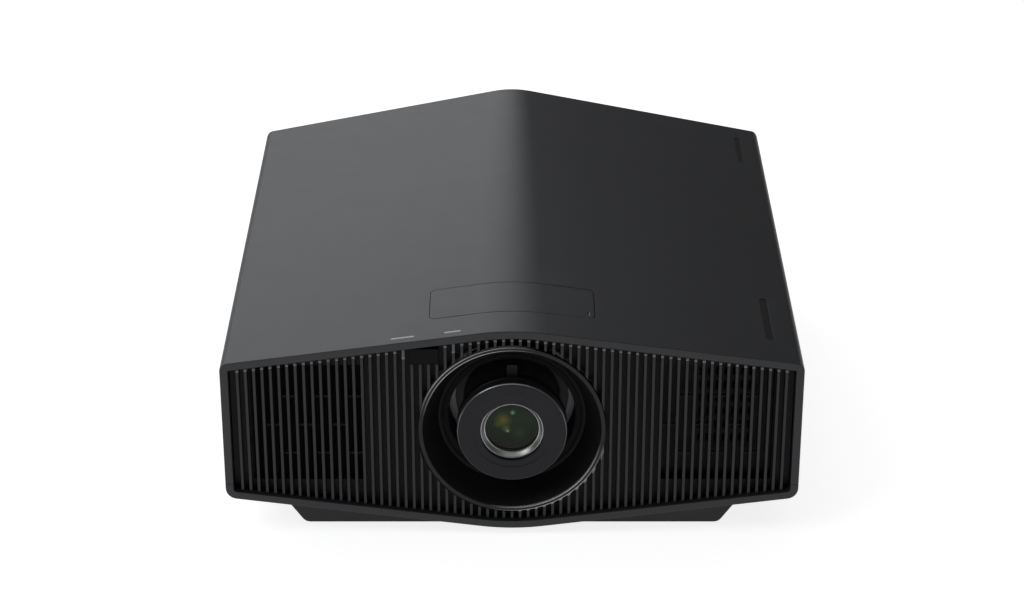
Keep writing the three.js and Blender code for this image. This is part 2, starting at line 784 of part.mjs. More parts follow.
// ---- Light engine ----------------------------------------------------------------------------
const housingY = yMount1 + gap;
const housingY1 = housingY + housingLength;
const cubeY = housingY + 55;
const cubeHalf = cubeSize / 2;
const wheelX = 45;
const wheelY = housingY1 - 36;
const wheelZ = lensHeight;
const housing = box(-housingHalf, housingHalf, housingY, housingY1, housingBottom, housingTop)
  .subtract(box(
    -housingHalf + housingWall, housingHalf - housingWall,
    housingY + housingWall, housingY1 - housingWall, housingBottom + housingWall, far,
  ))
  .subtract(rodY(mountHole, housingY - 1, housingY + housingWall + 1, 0, lensHeight, 32))
  .subtract(rodY(8, housingY1 - housingWall - 1, housingY1 + 1, wheelX - 22, wheelZ, 16))
  .add(box(-18, 18, cubeY - 18, cubeY + 18, housingBottom, lensHeight - cubeHalf - gap));
part('engine_housing', housing, 'castAlloy');
part(
  'colour_cube',
  box(
    -cubeHalf, cubeHalf, cubeY - cubeHalf, cubeY + cubeHalf,
    lensHeight - cubeHalf, lensHeight + cubeHalf,
  ),
  'glass',
);
const imagerHalf = panelImager / 2;
const imagerThickness = 3.5;
for (const [name, side] of [['red_panel', -1], ['blue_panel', 1]]) {
  const [x0, x1] = [side * (cubeHalf + gap), side * (cubeHalf + gap + imagerThickness)]
    .sort((a, b) => a - b);
  const shape = box(
    x0, x1, cubeY - imagerHalf, cubeY + imagerHalf, lensHeight - imagerHalf, lensHeight + imagerHalf,
  );
  part(name, shape, 'black');
}
part(
  'green_panel',
  box(
    -imagerHalf, imagerHalf, cubeY + cubeHalf + gap, cubeY + cubeHalf + gap + imagerThickness,
    lensHeight - imagerHalf, lensHeight + imagerHalf,
  ),
  'black',
);
part(
  'phosphor_wheel',
  joined(
    rodY(wheelRadius, wheelY, wheelY + wheelThickness, wheelX, wheelZ, 32),
    rodY(8, wheelY - 3, wheelY + wheelThickness, wheelX, wheelZ, 16),
  ),
  'phosphor',
);
part(
  'wheel_motor',
  rodY(motorRadius, wheelY + wheelThickness + loose, housingY1 - housingWall - gap, wheelX, wheelZ, 24),
  'darkMetal',
);
const laserY0 = housingY1 + gap;
const laserY1 = laserY0 + laserDepth;
const laserHalf = 65;
const laserX = 5;
const laserRise = 40; // half its height about the lens's axis
part(
  'laser_module',
  box(
    laserX - laserHalf, laserX + laserHalf, laserY0, laserY1,
    lensHeight - laserRise, lensHeight + laserRise,
  ),
  'darkMetal',
);
const sinkY0 = laserY1 + gap;
const sinkHalf = 75;
const sinkFin = 2;
const sinkBase = 6;
const sinkRise = laserRise + 4;
const sinkPitch = (2 * sinkHalf - sinkFin) / (sinkFins - 1);
const [sinkBottom, sinkTop] = [lensHeight - sinkRise, lensHeight + sinkRise];
const sink = [box(-sinkHalf, sinkHalf, sinkY0, sinkY0 + sinkBase, sinkBottom, sinkTop)];
for (let i = 0; i < sinkFins; i++) {
  const x = -sinkHalf + i * sinkPitch;
  sink.push(box(x, x + sinkFin, sinkY0 + sinkBase - 1, sinkY0 + sinkDepth, sinkBottom, sinkTop));
}
part('laser_heat_sink', joined(...sink), 'castAlloy');

// ---- Fans ------------------------------------------------------------------------------------
const fanY0 = yPlateBack + fanFromPlate;
const fanY1 = fanY0 + fanDepth;
for (const [label, side] of sides) {
  const x = side * windowMiddle;
  const half = fanSize / 2;
  const frame = joined(
    box(x - half, x + half, fanY0, fanY1, fanZ - half, fanZ + half)
      .subtract(rodY(rotorRadius + 1.5, fanY0 - 1, fanY1 + 1, x, fanZ, 32)),
    rodY(rotorHub - 1, fanY1 - 3, fanY1, x, fanZ, 16),
    box(x - half + 1, x + half - 1, fanY1 - 3, fanY1, fanZ - 2, fanZ + 2),
    box(x - 2, x + 2, fanY1 - 3, fanY1, fanZ - half + 1, fanZ + half - 1),
  );
  part(`${label}_fan_frame`, frame, 'black');
  const rotor = [rodY(rotorHub, fanY0 + 1, fanY1 - 4, x, fanZ, 20)];
  for (let blade = 0; blade < blades; blade++) {
    const geometry = new THREE.BoxGeometry(rotorRadius - rotorHub + 1, bladeThickness, bladeChord);
    geometry.rotateX(side * bladePitch);
    geometry.translate((rotorRadius + rotorHub - 1) / 2, 0, 0);
    geometry.rotateY((2 * Math.PI * blade) / blades);
    geometry.translate(x, (fanY0 + fanY1 - 3) / 2, fanZ);
    rotor.push(solid(geometry));
  }
  part(`${label}_fan_rotor`, joined(...rotor), 'grille');
}

// ---- Boards ----------------------------------------------------------------------------------
// Components are [x, y, width, length, height], x outwards from the board's middle.
function board(name, side, components) {
  const middle = side * windowMiddle;
  const top = boardHeight + boardThickness;
  const solids = [box(
    middle - boardWidth / 2, middle + boardWidth / 2, boardY0, boardY0 + boardLength, boardHeight, top,
  )];
  for (const [x, y, width, length, height] of components) {
    solids.push(box(
      middle + side * x - width / 2, middle + side * x + width / 2,
      boardY0 + y - length / 2, boardY0 + y + length / 2, top - 0.5, top + height,
    ));
  }
  part(name, joined(...solids), 'board');
}
board('power_board', -1, [
  [-22, 60, 40, 44, 34], [24, 55, 30, 30, 42], [24, 110, 26, 50, 28], [-20, 130, 12, 60, 40],
  [-24, 200, 30, 40, 30], [20, 190, 24, 24, 38], [22, 235, 24, 24, 38], [-20, 260, 40, 30, 20],
]);
board('main_board', 1, [
  [-10, 90, 44, 44, 14], [-10, 160, 30, 30, 6], [28, 90, 14, 50, 5], [-20, 220, 36, 18, 8],
  [24, 200, 20, 40, 10], [0, 265, 60, 12, 9],
]);

// ---- Base pan and feet -----------------------------------------------------------------------
const panTop = underside(panHalf + panFlare) + 1;
const panCorners = (drawnIn) => [
  [-panHalf + drawnIn, panBottom + drawnIn], [panHalf - drawnIn, panBottom + drawnIn],
  [panHalf + panFlare - drawnIn, panTop + drawnIn], [-panHalf - panFlare + drawnIn, panTop + drawnIn],
].map(([x, z]) => new THREE.Vector2(x, z));
const panOutline = (drawnIn) => rounded(panCorners(drawnIn), [7, 7, 0.5, 0.5], 3);
const [panY0, panY1] = [yFront + panSetback, yRear - panSetback];
let pan = prismY(panOutline(0), panY0, panY1)
  .subtract(prismY(panOutline(panWall), panY0 + panWall, panY1 - panWall))
  .subtract(prismY(bodyOutline(yFront, -gap), yFront - 1, yRear + 1));
const footX = halfWidth - footFromSide;
const pocketTop = panBottom + footDiscHeight + 1;
const footEnds = [['front', yFront + footFromEnd], ['rear', yRear - footFromEnd]];
for (const [label, side] of sides) {
  for (const [end, y] of footEnds) {
    const x = side * footX;
    const bossTop = underside(x - side * 20) - 2 * gap - 1;
    const pad = turnedZ(
      [[0, 0], [footRadius - 1, 0], [footRadius, 1], [footRadius, footThickness], [0, footThickness]],
      x, y,
    );
    if (end === 'front') {
      pan = pan
        .add(rodZ(footDiscRadius + 4, panBottom, pocketTop + 2.5, x, y, 16))
        .add(rodZ(studRadius + 4, pocketTop, bossTop, x, y, 12))
        .subtract(rodZ(footDiscRadius + 1, 0, pocketTop, x, y, 20))
        .subtract(rodZ(studRadius + loose, 0, far, x, y, 12));
      part(`${label}_foot_pad`, pad, 'rubber');
      part(
        `${label}_foot_screw`,
        joined(
          rodZ(footDiscRadius, footThickness + gap, footThickness + gap + footDiscHeight, x, y),
          rodZ(studRadius, footThickness + gap + 1, studTop, x, y, 12),
        ),
        'darkMetal',
      );
    } else {
      part(`${label}_rear_foot`, pad, 'rubber');
    }
  }
}
part('base_pan', pan, 'black');

// ---- Rear panel, terminals and controls ------------------------------------------------------
let panel = prismY(rearOutline(gap), yPanel - panelThickness, yPanel);
for (const [, side] of sides) {
  for (let i = 0; i < ventSlots; i++) {
    const x = side * (ventHalf + i * finPitch);
    panel = panel.subtract(box(
      x - ventSlot / 2, x + ventSlot / 2, yPanel - 9, yPanel + 1, ventBottom, ventTop,
    ));
  }
}
const terminalHalf = terminalWidth / 2;
panel = panel.subtract(box(
  -terminalHalf, terminalHalf, yPanel - 9, yPanel + 1, terminalBottom, terminalTop,
));

const terminalY = yPanel - terminalRecess;
let terminals = box(
  -terminalHalf - 2, terminalHalf + 2, terminalY - 1.5, yPanel - panelThickness - gap,
  terminalBottom - 2, terminalTop + 2,
).subtract(box(-terminalHalf, terminalHalf, terminalY, yPanel, terminalBottom, terminalTop));

const portDepth = 14;
const boardY1 = terminalY - 1.5 - portDepth + 3;
const portMiddle = (terminalBottom + terminalTop) / 2;
// A metal socket shell: outer size, rim, and the tongue or pins that fill part of it.
function port(name, x, width, height, rim, tongue, look) {
  const [halfW, halfH] = [width / 2, height / 2];
  const block = (grow, y0, y1) => box(
    x - halfW - grow, x + halfW + grow, y0, y1, portMiddle - halfH - grow, portMiddle + halfH + grow,
  );
  terminals = terminals.subtract(block(gap, terminalY - 5, terminalY + 5));
  let shape = block(0, boardY1 + gap, terminalY + 1)
    .subtract(block(-rim, boardY1 + 4, terminalY + 2));
  if (tongue) {
    const [tongueWidth, tongueHeight, drop] = tongue;
    shape = shape.add(box(
      x - tongueWidth / 2, x + tongueWidth / 2, boardY1 + 3, terminalY - 0.5,
      portMiddle - drop, portMiddle - drop + tongueHeight,
    ));
  }
  part(name, shape, look);
}
function jack(name, x, radius) {
  terminals = terminals.subtract(rodY(radius + gap, terminalY - 5, terminalY + 5, x, portMiddle, 16));
  const shape = rodY(radius, boardY1 + gap, terminalY + 1.5, x, portMiddle, 16)
    .subtract(rodY(radius / 2, boardY1 + 4, terminalY + 2, x, portMiddle, 12));
  part(name, shape, 'black');
}
port('hdmi_port_1', -70, 15.6, 6.4, 0.6, [11.5, 1.4, 0.7], 'metal');
port('hdmi_port_2', -46, 15.6, 6.4, 0.6, [11.5, 1.4, 0.7], 'metal');
port('usb_port', -22, 14.2, 7.2, 0.6, [11, 1.9, -0.2], 'metal');
port('lan_port', 0, 16, 13.6, 1.4, null, 'metal');
port('serial_port', 31, 31, 12.5, 1.2, [26, 6, 3], 'metal');
jack('trigger_jack', 59, 4.2);
jack('ir_jack', 75, 4.2);
part('terminal_panel', terminals, 'black');
part(
  'terminal_board',
  box(
    -terminalHalf + 2, terminalHalf - 2, boardY1 - boardThickness, boardY1,
    terminalBottom - 4, terminalTop + 20,
  ),
  'board',
);

// Mains inlet: flange on the panel, deep socket with three blades
const inletHalf = 14;
const inletRise = 10; // half its height
const flangeHalf = 24;
const flangeRise = 12;
const socketDepth = 16;
const blade = (x, z) => box(
  inletX + x - 1, inletX + x + 1, yPanel - 22, yPanel - 5, inletHeight + z - 2, inletHeight + z + 2,
);
const inletBlock = (halfX, halfZ, y0, y1) => box(
  inletX - halfX, inletX + halfX, y0, y1, inletHeight - halfZ, inletHeight + halfZ,
);
panel = panel.subtract(inletBlock(inletHalf + gap, inletRise + gap, yPanel - 9, yPanel + 1));
part(
  'ac_inlet',
  joined(
    inletBlock(inletHalf, inletRise, yPanel - 26, yPanel + 1),
    inletBlock(flangeHalf, flangeRise, yPanel + gap, yPanel + 2),
  )
    .subtract(inletBlock(inletHalf - 2, inletRise - 2, yPanel + 2 - socketDepth, yPanel + 9))
    .add(joined(blade(-7, -1), blade(0, 2), blade(7, -1))),
  'black',
);

// Buttons and the navigation joystick
const controlDepth = 8;
['power_button', 'input_button', 'menu_button'].forEach((name, i) => {
  const x = controlStart + i * controlPitch;
  panel = panel.subtract(rodY(buttonRadius + loose, yPanel - 9, yPanel + 1, x, controlHeight, 20));
  part(
    name,
    rodY(buttonRadius, yPanel - controlDepth, yPanel + buttonProud, x, controlHeight, 20),
    'grille',
  );
});
const stickX = controlStart + 3 * controlPitch;
const stickY = yPanel - 7; // where both tilt axes cross
const stickHole = 7;
panel = panel.subtract(rodY(stickHole, yPanel - 9, yPanel + 1, stickX, controlHeight, 20));
part(
  'joystick_gimbal',
  turnedY(
    [[4, stickY - 1.5], [6, stickY - 1.5], [6, stickY + 1.5], [4, stickY + 1.5], [4, stickY - 1.5]],
    stickX, controlHeight, 16,
  ),
  'darkMetal',
);
part(
  'joystick_knob',
  turnedY(
    [
      [0, stickY - 2], [2.2, stickY - 2], [2.2, yPanel + 1.5], [6, yPanel + 2], [6, yPanel + 4.5],
      [4.5, yPanel + 5.2], [0, yPanel + 4.4],
    ],
    stickX, controlHeight, 16,
  ),
  'grille',
);
part('rear_panel', panel, 'shell');

export default projector;
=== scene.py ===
"""A home projector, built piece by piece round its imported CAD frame.

Metres, +Z up, the lens looks along -Y, and the object stands on the ground at Z 0.
"""
import json
import math

import bmesh
import bpy
from bpy.props import FloatProperty, FloatVectorProperty, IntProperty, PointerProperty
from mathutils import Matrix, Vector


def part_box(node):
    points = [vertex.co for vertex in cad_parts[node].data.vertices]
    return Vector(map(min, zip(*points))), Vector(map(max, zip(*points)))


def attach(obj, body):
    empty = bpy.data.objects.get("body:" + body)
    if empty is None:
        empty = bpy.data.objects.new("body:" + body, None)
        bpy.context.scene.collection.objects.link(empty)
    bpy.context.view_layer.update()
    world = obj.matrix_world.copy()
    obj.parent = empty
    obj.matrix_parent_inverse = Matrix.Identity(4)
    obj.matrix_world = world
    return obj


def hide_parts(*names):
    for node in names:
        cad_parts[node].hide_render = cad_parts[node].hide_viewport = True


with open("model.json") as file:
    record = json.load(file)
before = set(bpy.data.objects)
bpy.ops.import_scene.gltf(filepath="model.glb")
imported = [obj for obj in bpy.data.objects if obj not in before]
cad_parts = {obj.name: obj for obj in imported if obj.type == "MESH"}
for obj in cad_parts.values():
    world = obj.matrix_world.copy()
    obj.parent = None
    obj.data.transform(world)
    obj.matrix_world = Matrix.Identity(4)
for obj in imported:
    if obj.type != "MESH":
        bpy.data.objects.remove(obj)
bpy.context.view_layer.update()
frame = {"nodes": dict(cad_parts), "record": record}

bl_info = {
    "name": "Home Projector",
    "version": (1, 0, 0),
    "blender": (4, 5, 0),
    "location": "3D View > Sidebar > Projector",
    "description": "Builds a creased home projector with its grille, lens, optics and feet",
    "category": "Object",
}

MM = 0.001
BODY_OF = {
    node: body for body, nodes in frame["record"]["behaviour"]["bodies"].items() for node in nodes
}
SLOT_OF = {part["node"]: part["material_slot"] for part in frame["record"]["subparts"]}
CASE_LOW, CASE_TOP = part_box("bottom_case")[0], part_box("top_cover")[1]
Y_FRONT, Y_REAR = CASE_LOW.y, CASE_TOP.y
HALF_WIDTH = CASE_TOP.x
SEAM = (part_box("bottom_case")[1].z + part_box("top_cover")[0].z) / 2
LENS_Z = (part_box("lens_barrel")[0].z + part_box("lens_barrel")[1].z) / 2
SIDES = (("left", -1), ("right", 1))
SEAM_GAP = 0.3 * MM  # open line between the two halves of the casing
LID_GAP = 0.4 * MM
BELOW_ROOF, ABOVE_ROOF = 0.1, 0.25  # heights between which an upright cutter crosses the roof


# ---- Sizes and colours a user would change -----------------------------------------------------
def length(name, description, millimetres):
    return FloatProperty(
        name=name, description=description, default=millimetres * MM, min=0, precision=4, unit="LENGTH",
    )


class ProjectorSizes(bpy.types.PropertyGroup):
    """Sizes of the casing, the grille and the lens surround."""

    side_top: length("Side top", "Height of the roof's outer edges", 156)
    side_bottom: length("Side bottom", "Height where the sides turn under", 34.7)
    keel: length("Keel", "Lowest height of the V-shaped underside", 6.3)
    ridge_fall: length("Ridge fall", "How much lower the roof's crease is at the front", 14.4)
    ridge_blend_front: length("Front crease", "Half width of the rounded crease at the front", 27)
    ridge_blend_rear: length("Rear crease", "Half width of the rounded crease at the rear", 17)
    keel_blend: length("Keel bend", "Half width of the rounded keel", 25)
    top_radius: length("Top edge", "Radius of the roof's outer edges", 7)
    bottom_radius: length("Bottom edge", "Radius of the lower edges", 9.5)
    rear_radius: length("Rear edge", "Radius round the rear face", 8)
    wall: length("Wall", "Thickness of the casing", 3)
    bezel: length("Bezel", "Width of the frame round the grille", 6.5)
    bezel_depth: length("Bezel depth", "How deep the bezel is", 8)
    rear_frame: length("Rear frame", "Width of the flat frame round the rear panel", 6)
    rear_frame_depth: length("Rear frame depth", "How deep the rear frame is", 10)
    fin_pitch: length("Fin pitch", "Distance between the grille's fins", 6.56)
    fin_width: length("Fin width", "Thickness of one fin", 2.4)
    lid_thickness: length("Lid thickness", "Thickness of the lid over the shift dials", 2.5)
    turning_steps: IntProperty(
        name="Turning steps", description="Faces round a turned ring", default=128, min=24,
    )


def colour(name, description, value):
    return FloatVectorProperty(
        name=name, description=description, default=value, size=3, min=0, max=1, subtype="COLOR",
    )


class ProjectorColours(bpy.types.PropertyGroup):
    """Base colours of the finishes."""

    shell: colour("Shell", "Painted casing", (0.030, 0.031, 0.034))
    grille: colour("Grille", "Moulded fins and plate", (0.016, 0.016, 0.017))
    funnel: colour("Funnel", "Satin surround of the lens", (0.010, 0.010, 0.011))
    black: colour("Black moulding", "Trays, sockets and frames", (0.018, 0.018, 0.019))
    ring: colour("Lens ring", "Anodised focus and zoom rings", (0.018, 0.018, 0.0215))
    board: colour("Circuit board", "Solder mask", (0.012, 0.085, 0.040))
    alloy: colour("Cast alloy", "Carriages, light engine and heat sink", (0.52, 0.53, 0.55))
    phosphor: colour("Phosphor", "Coating of the colour wheel", (0.85, 0.62, 0.10))
    rubber: colour("Rubber", "Feet", (0.020, 0.020, 0.021))


def sizes():
    return bpy.context.scene.projector_sizes


# ---- Materials ---------------------------------------------------------------------------------
class Signal:
    """One output socket, usable in Python expressions that add Math nodes."""

    def __init__(self, finish, socket):
        self.finish, self.socket = finish, socket

    def math(self, operation, *values):
        node = self.finish.add("ShaderNodeMath", {"operation": operation}, dict(enumerate(values)))
        return Signal(self.finish, node.outputs[0])

    def __add__(self, other):
        return self.math("ADD", self, other)

    def __sub__(self, other):
        return self.math("SUBTRACT", self, other)

    def __rsub__(self, other):
        return self.math("SUBTRACT", other, self)

    def __mul__(self, other):
        return self.math("MULTIPLY", self, other)

    def __truediv__(self, other):
        return self.math("DIVIDE", self, other)

    def __pow__(self, other):
        return self.math("POWER", self, other)

    __radd__ = __add__
    __rmul__ = __mul__

    def above(self, level):
        return self.math("GREATER_THAN", self, level)

    def within(self, low, high):
        """Rises from 0 at low to 1 at high."""
        node = self.finish.add("ShaderNodeMapRange", {"clamp": True}, {0: self, 1: low, 2: high})
        return Signal(self.finish, node.outputs[0])


class Finish:
    """A node material round one Principled shader, whose uniform numbers are set on its sockets."""

    def __init__(self, name, base, **uniform):
        self.material = bpy.data.materials.new(name)
        self.material.use_nodes = True
        self.tree = self.material.node_tree
        self.shader = self.tree.nodes["Principled BSDF"]
        self.shader.inputs["Base Color"].default_value = (*base, 1)
        for label, value in uniform.items():
            socket = label.replace("_", " ").title().replace("Ior", "IOR")
            self.shader.inputs[socket].default_value = value
        self.material.diffuse_color = (*base, 1)

    def add(self, kind, settings=None, inputs=None):
        """Adds a node of any kind: its settings first, then the values or links of its sockets."""
        node = self.tree.nodes.new(kind)
        for label, value in (settings or {}).items():
            setattr(node, label, value)
        for label, value in (inputs or {}).items():
            if isinstance(value, Signal):
                self.tree.links.new(value.socket, node.inputs[label])
            else:
                node.inputs[label].default_value = value
        return node

    def place(self, shift=(0, 0, 0), scale=(1, 1, 1)):
        """The object's own coordinates, moved and scaled."""
        source = self.add("ShaderNodeTexCoord")
        node = self.add(
            "ShaderNodeMapping", {"vector_type": "POINT"},
            {"Vector": Signal(self, source.outputs["Object"]), "Location": shift, "Scale": scale},
        )
        return Signal(self, node.outputs[0])

    def noise(self, scale, detail=2.0, stretch=(1, 1, 1)):
        node = self.add(
            "ShaderNodeTexNoise", None,
            {"Vector": self.place(scale=stretch), "Scale": scale, "Detail": detail},
        )
        return Signal(self, node.outputs["Fac"])

    def axis(self, name, place=None):
        node = self.add("ShaderNodeSeparateXYZ", None, {0: place or self.place()})
        return Signal(self, node.outputs[name])

    def distance(self, centre):
        """Distance from a line along Y through centre."""
        place = self.place(shift=tuple(-c for c in centre))
        first, second = (self.axis(name, place) for name in "XZ")
        return (first * first + second * second) ** 0.5

    def blend(self, factor, first, second):
        """A colour that goes from first to second as factor rises."""
        settings = {"data_type": "RGBA", "blend_type": "MIX", "clamp_factor": True}
        node = self.add("ShaderNodeMix", settings, {0: factor, 6: first, 7: second})
        return Signal(self, node.outputs[2])

    def feed(self, label, signal):
        self.tree.links.new(signal.socket, self.shader.inputs[label])
        return self

    def mottle(self, cloud, base, dark, light):
        """Base colour that drifts between a darker and a lighter shade of base."""
        return self.feed("Base Color", self.blend(cloud, shade(base, dark), shade(base, light)))

    def bump(self, height, strength=0.3, depth=0.0002):
        inputs = {"Strength": strength, "Distance": depth, "Height": height}
        node = self.add("ShaderNodeBump", None, inputs)
        return self.feed("Normal", Signal(self, node.outputs[0]))


def swatch(name):
    """One of the user's colours."""
    return tuple(getattr(bpy.context.scene.projector_colours, name))


def shade(base, factor):
    """A colour lightened or darkened by factor, with full alpha."""
    return (*(min(1, channel * factor) for channel in base), 1)


def moulded(name, base, roughness, grain=2600, depth=0.00006, spread=0.08, mottle=0.16, **uniform):
    """Moulded or painted plastic: fine grain, faint mottling and a slightly uneven gloss."""
    finish = Finish(name, base, **uniform)
    cloud = finish.noise(18, 3)
    finish.mottle(cloud, base, 1 - mottle, 1 + mottle)
    finish.feed("Roughness", finish.noise(60, 4) * spread + (roughness - spread / 2))
    return finish.bump(finish.noise(grain, 3), 0.5, depth)


def painted_shell():
    """Charcoal paint with a soft sheen over a fine texture."""
    base = swatch("shell")
    return moulded("shell_paint", base, 0.40, grain=3200, depth=0.00004, spread=0.05, mottle=0.07)


def moulded_grille():
    """Black moulding, painted darker deep towards the plate as painted shade and lighter on the fins'
    fronts as a painted highlight, where it is also glossier.
    """
    base = swatch("grille")
    finish = moulded("grille_moulding", base, 0.40, grain=2400, depth=0.00005)
    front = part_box("front_grille")[0].y
    depth = finish.axis("Y", finish.place(shift=(0, -front, 0)))
    front_gloss_and_painted_light = depth.within(5 * MM, 0.3 * MM)
    # Painted shade deep between the fins and a painted highlight on their fronts; the lower roughness
    # at the front is real gloss.
    finish.mottle(front_gloss_and_painted_light, base, 0.42, 1.35)
    return finish.feed("Roughness", front_gloss_and_painted_light * -0.22 + (finish.noise(60, 4) * 0.06 + 0.6))


def fin_tip():
    """The small flat on the top of each fin, painted lighter than the rest as a painted highlight where
    light catches it.
    """
    return moulded("fin_tip", (0.5, 0.5, 0.51), 0.3, grain=2400, depth=0.00003)


def lens_tube():
    """Satin grey-black anodising of the barrel behind the rings."""
    return moulded("lens_tube", (0.060, 0.058, 0.062), 0.42, grain=2800, depth=0.00003)


def filter_felt():
    """Brownish black felt of the pleated dust filter."""
    return moulded("filter_felt", (0.045, 0.036, 0.044), 0.9, grain=900, depth=0.00025, mottle=0.3)


def fan_black():
    return moulded("fan_black", (0.0025, 0.0023, 0.0026), 0.72, grain=1500, specular_ior_level=0.12)


def blackened_sheet():
    """Dark passivated sheet metal."""
    finish = moulded("blackened_sheet", (0.011, 0.011, 0.012), 0.5, grain=1800)
    finish.shader.inputs["Metallic"].default_value = 0.3
    return finish


def satin_funnel():
    """Satin black with polished edges on both sides of the rim, bright only towards the upper left and
    lower right as painted highlights; down in the tube it is matt and painted darker as painted shade.
    """
    base = swatch("funnel")
    finish = moulded("funnel_satin", base, 0.34, grain=2600, depth=0.00003)
    radius = finish.distance((0, 0, LENS_Z))
    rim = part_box("lens_funnel")[1].x

    def inside_rim(low, high):
        """Rises from 0 to 1 between two distances in from the rim, in millimetres."""
        return radius.within(rim - low * MM, rim - high * MM)

    tube, outer, band = inside_rim(15, 17), inside_rim(0.85, 0.5), inside_rim(2.95, 2.6)
    edge = outer + inside_rim(3.9, 3.5) * (1 - band)
    centred = finish.place(shift=(0, 0, -LENS_Z))
    # Painted highlight: the polished edges are lit only along the upper-left to lower-right diagonal.
    highlight_diagonal = (finish.axis("Z", centred) * 0.84 - finish.axis("X", centred) * 0.54) / radius
    edge = edge * (highlight_diagonal * highlight_diagonal).within(0.45, 0.95)
    tone = finish.blend(band, shade(base, 1), shade(base, 0.6))
    # Painted shade: darker down in the tube.
    tone = finish.blend(tube, tone, shade(base, 0.6))
    finish.feed("Base Color", finish.blend(edge, tone, (0.8, 0.8, 0.82, 1)))
    finish.feed("Metallic", edge * 0.85)
    rough = finish.noise(60, 3) * 0.05 + 0.32
    finish.feed("Roughness", rough + tube * 0.55 + (band - outer) * 0.2 - edge * 0.1)
    lines = radius * 9000
    return finish.bump(lines.math("SINE", lines), 0.05, 0.00003)


def black_moulding():
    base = swatch("black")
    return moulded("black_moulding", base, 0.5)


def smoked_window():
    finish = Finish("smoked_window", (0.004, 0.0035, 0.004), specular_ior_level=0.12)
    return finish.feed("Roughness", finish.noise(240, 2) * 0.05 + 0.3)


def light_guide():
    """Frosted guide that carries the light of a lamp behind the grille."""
    finish = Finish("light_guide", (0.11, 0.115, 0.125), coat_weight=0.4, coat_roughness=0.2)
    finish.feed("Roughness", finish.noise(900, 2) * 0.2 + 0.3)
    return finish.bump(finish.noise(1800, 2), 0.3, 0.00005)


def anodised_ring():
    """Fine turning lines round the lens axis on a satin anodised surface, painted darker behind the
    front face as painted shade.
    """
    base = swatch("ring")
    finish = Finish("lens_ring_anodised", base, metallic=0.25, specular_ior_level=0.35)
    radius = finish.distance((0, 0, LENS_Z))
    lines = radius * 7500
    wave = lines.math("SINE", lines)
    low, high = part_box("focus_ring")
    behind = finish.axis("Y", finish.place(shift=(0, -low.y, 0))).within(1.6 * MM, 2.2 * MM)
    edge = radius.within(high.x - 1.1 * MM, high.x - 0.6 * MM) * (1 - behind)
    tone = finish.blend(finish.noise(35, 3), shade(base, 0.88), shade(base, 1.1))
    # Painted shade: darker behind the focus ring's front face, on its sides and on the zoom ring inside
    # the funnel.
    tone = finish.blend(behind, tone, shade(base, 0.4))
    finish.feed("Base Color", finish.blend(edge, tone, (0.42, 0.43, 0.46, 1)))
    finish.feed("Metallic", edge * 0.75 + 0.25)
    finish.feed("Roughness", edge * -0.14 + (finish.noise(1400, 2) * 0.1 + (wave * 0.02 + 0.36)))
    return finish.bump(wave + finish.noise(3000, 2), 0.1, 0.00004)


def bright_ring():
    """Polished retaining ring, turned in fine steps."""
    base = (0.58, 0.59, 0.58)
    finish = Finish("bright_ring", base, metallic=1.0)
    lines = finish.distance((0, 0, LENS_Z)) * 5200
    wave = lines.math("SINE", lines)
    finish.mottle(finish.noise(120, 2), base, 0.8, 1.1)
    finish.feed("Roughness", wave * 0.04 + 0.34)
    return finish.bump(wave, 0.1, 0.00004)


def coated_glass():
    """Front element: dark depth, with a painted reflection of green coating lighter towards the top,
    painted amber and green glints, and painted reflections of the inner lenses' rings.
    """
    finish = Finish("lens_glass", (0.01, 0.014, 0.01), specular_ior_level=0.22)
    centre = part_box("front_glass")[1].x * 1000
    radius = finish.distance((0, 0, LENS_Z)) * 1000
    height = finish.axis("Z", finish.place(shift=(0, 0, -LENS_Z))) * 1000
    # Painted reflection: rings of the inner lenses.
    reflection_swirl = finish.distance((-0.002, 0, LENS_Z + 0.003)) * 2600
    ring = reflection_swirl.math("SINE", reflection_swirl).within(-0.2, 1)
    # Painted reflection: the green coating sheen, lighter towards the top.
    painted_reflection_top = height.within(-12, 9)
    body = finish.blend(painted_reflection_top, (0.006, 0.006, 0.005, 1), (0.016, 0.034, 0.014, 1))
    body = finish.blend(radius.within(centre * 0.8, centre), body, (0.020, 0.024, 0.016, 1))
    body = finish.blend(ring * 0.35, body, (0.030, 0.060, 0.024, 1))
    # Painted glints: amber and green spots of reflected light.
    glints = (
        (-0.0070, 0.0085, 0.0085, (0.230, 0.190, 0.030, 1), 0.75),
        (-0.0045, 0.0010, 0.0046, (0.100, 0.230, 0.070, 1), 0.8),
        (-0.0110, 0.0050, 0.0050, (0.090, 0.150, 0.020, 1), 0.6),
        (0.0060, -0.0030, 0.0100, (0.035, 0.080, 0.030, 1), 0.5),
        (0.0005, 0.0150, 0.0026, (0.330, 0.620, 0.400, 1), 0.9),
        (-0.0035, -0.0010, 0.0018, (0.550, 0.640, 0.300, 1), 0.9),
    )
    for x, z, reach, tint, strength in glints:
        spot = finish.distance((x, 0, LENS_Z + z)).within(reach, 0) ** 1.6
        body = finish.blend(spot * strength, body, tint)
    finish.feed("Base Color", body)
    return finish.feed("Roughness", ring * 0.03 + 0.05)


def dial_moulding():
    base = swatch("grille")
    return moulded("dial_moulding", shade(base, 1.6)[:3], 0.5, grain=1800)


def button_moulding():
    base = swatch("grille")
    return moulded("button_moulding", shade(base, 1.4)[:3], 0.42, grain=3000)


def cast_alloy():
    """Sand-cast alloy: coarse skin with machined gloss coming through."""
    base = swatch("alloy")
    finish = Finish("cast_alloy", base, metallic=0.9)
    skin = finish.noise(420, 4)
    finish.mottle(finish.noise(30, 3), base, 0.75, 1.05)
    finish.feed("Roughness", skin * 0.25 + 0.36)
    return finish.bump(skin + finish.noise(1500, 3), 0.35, 0.0001)


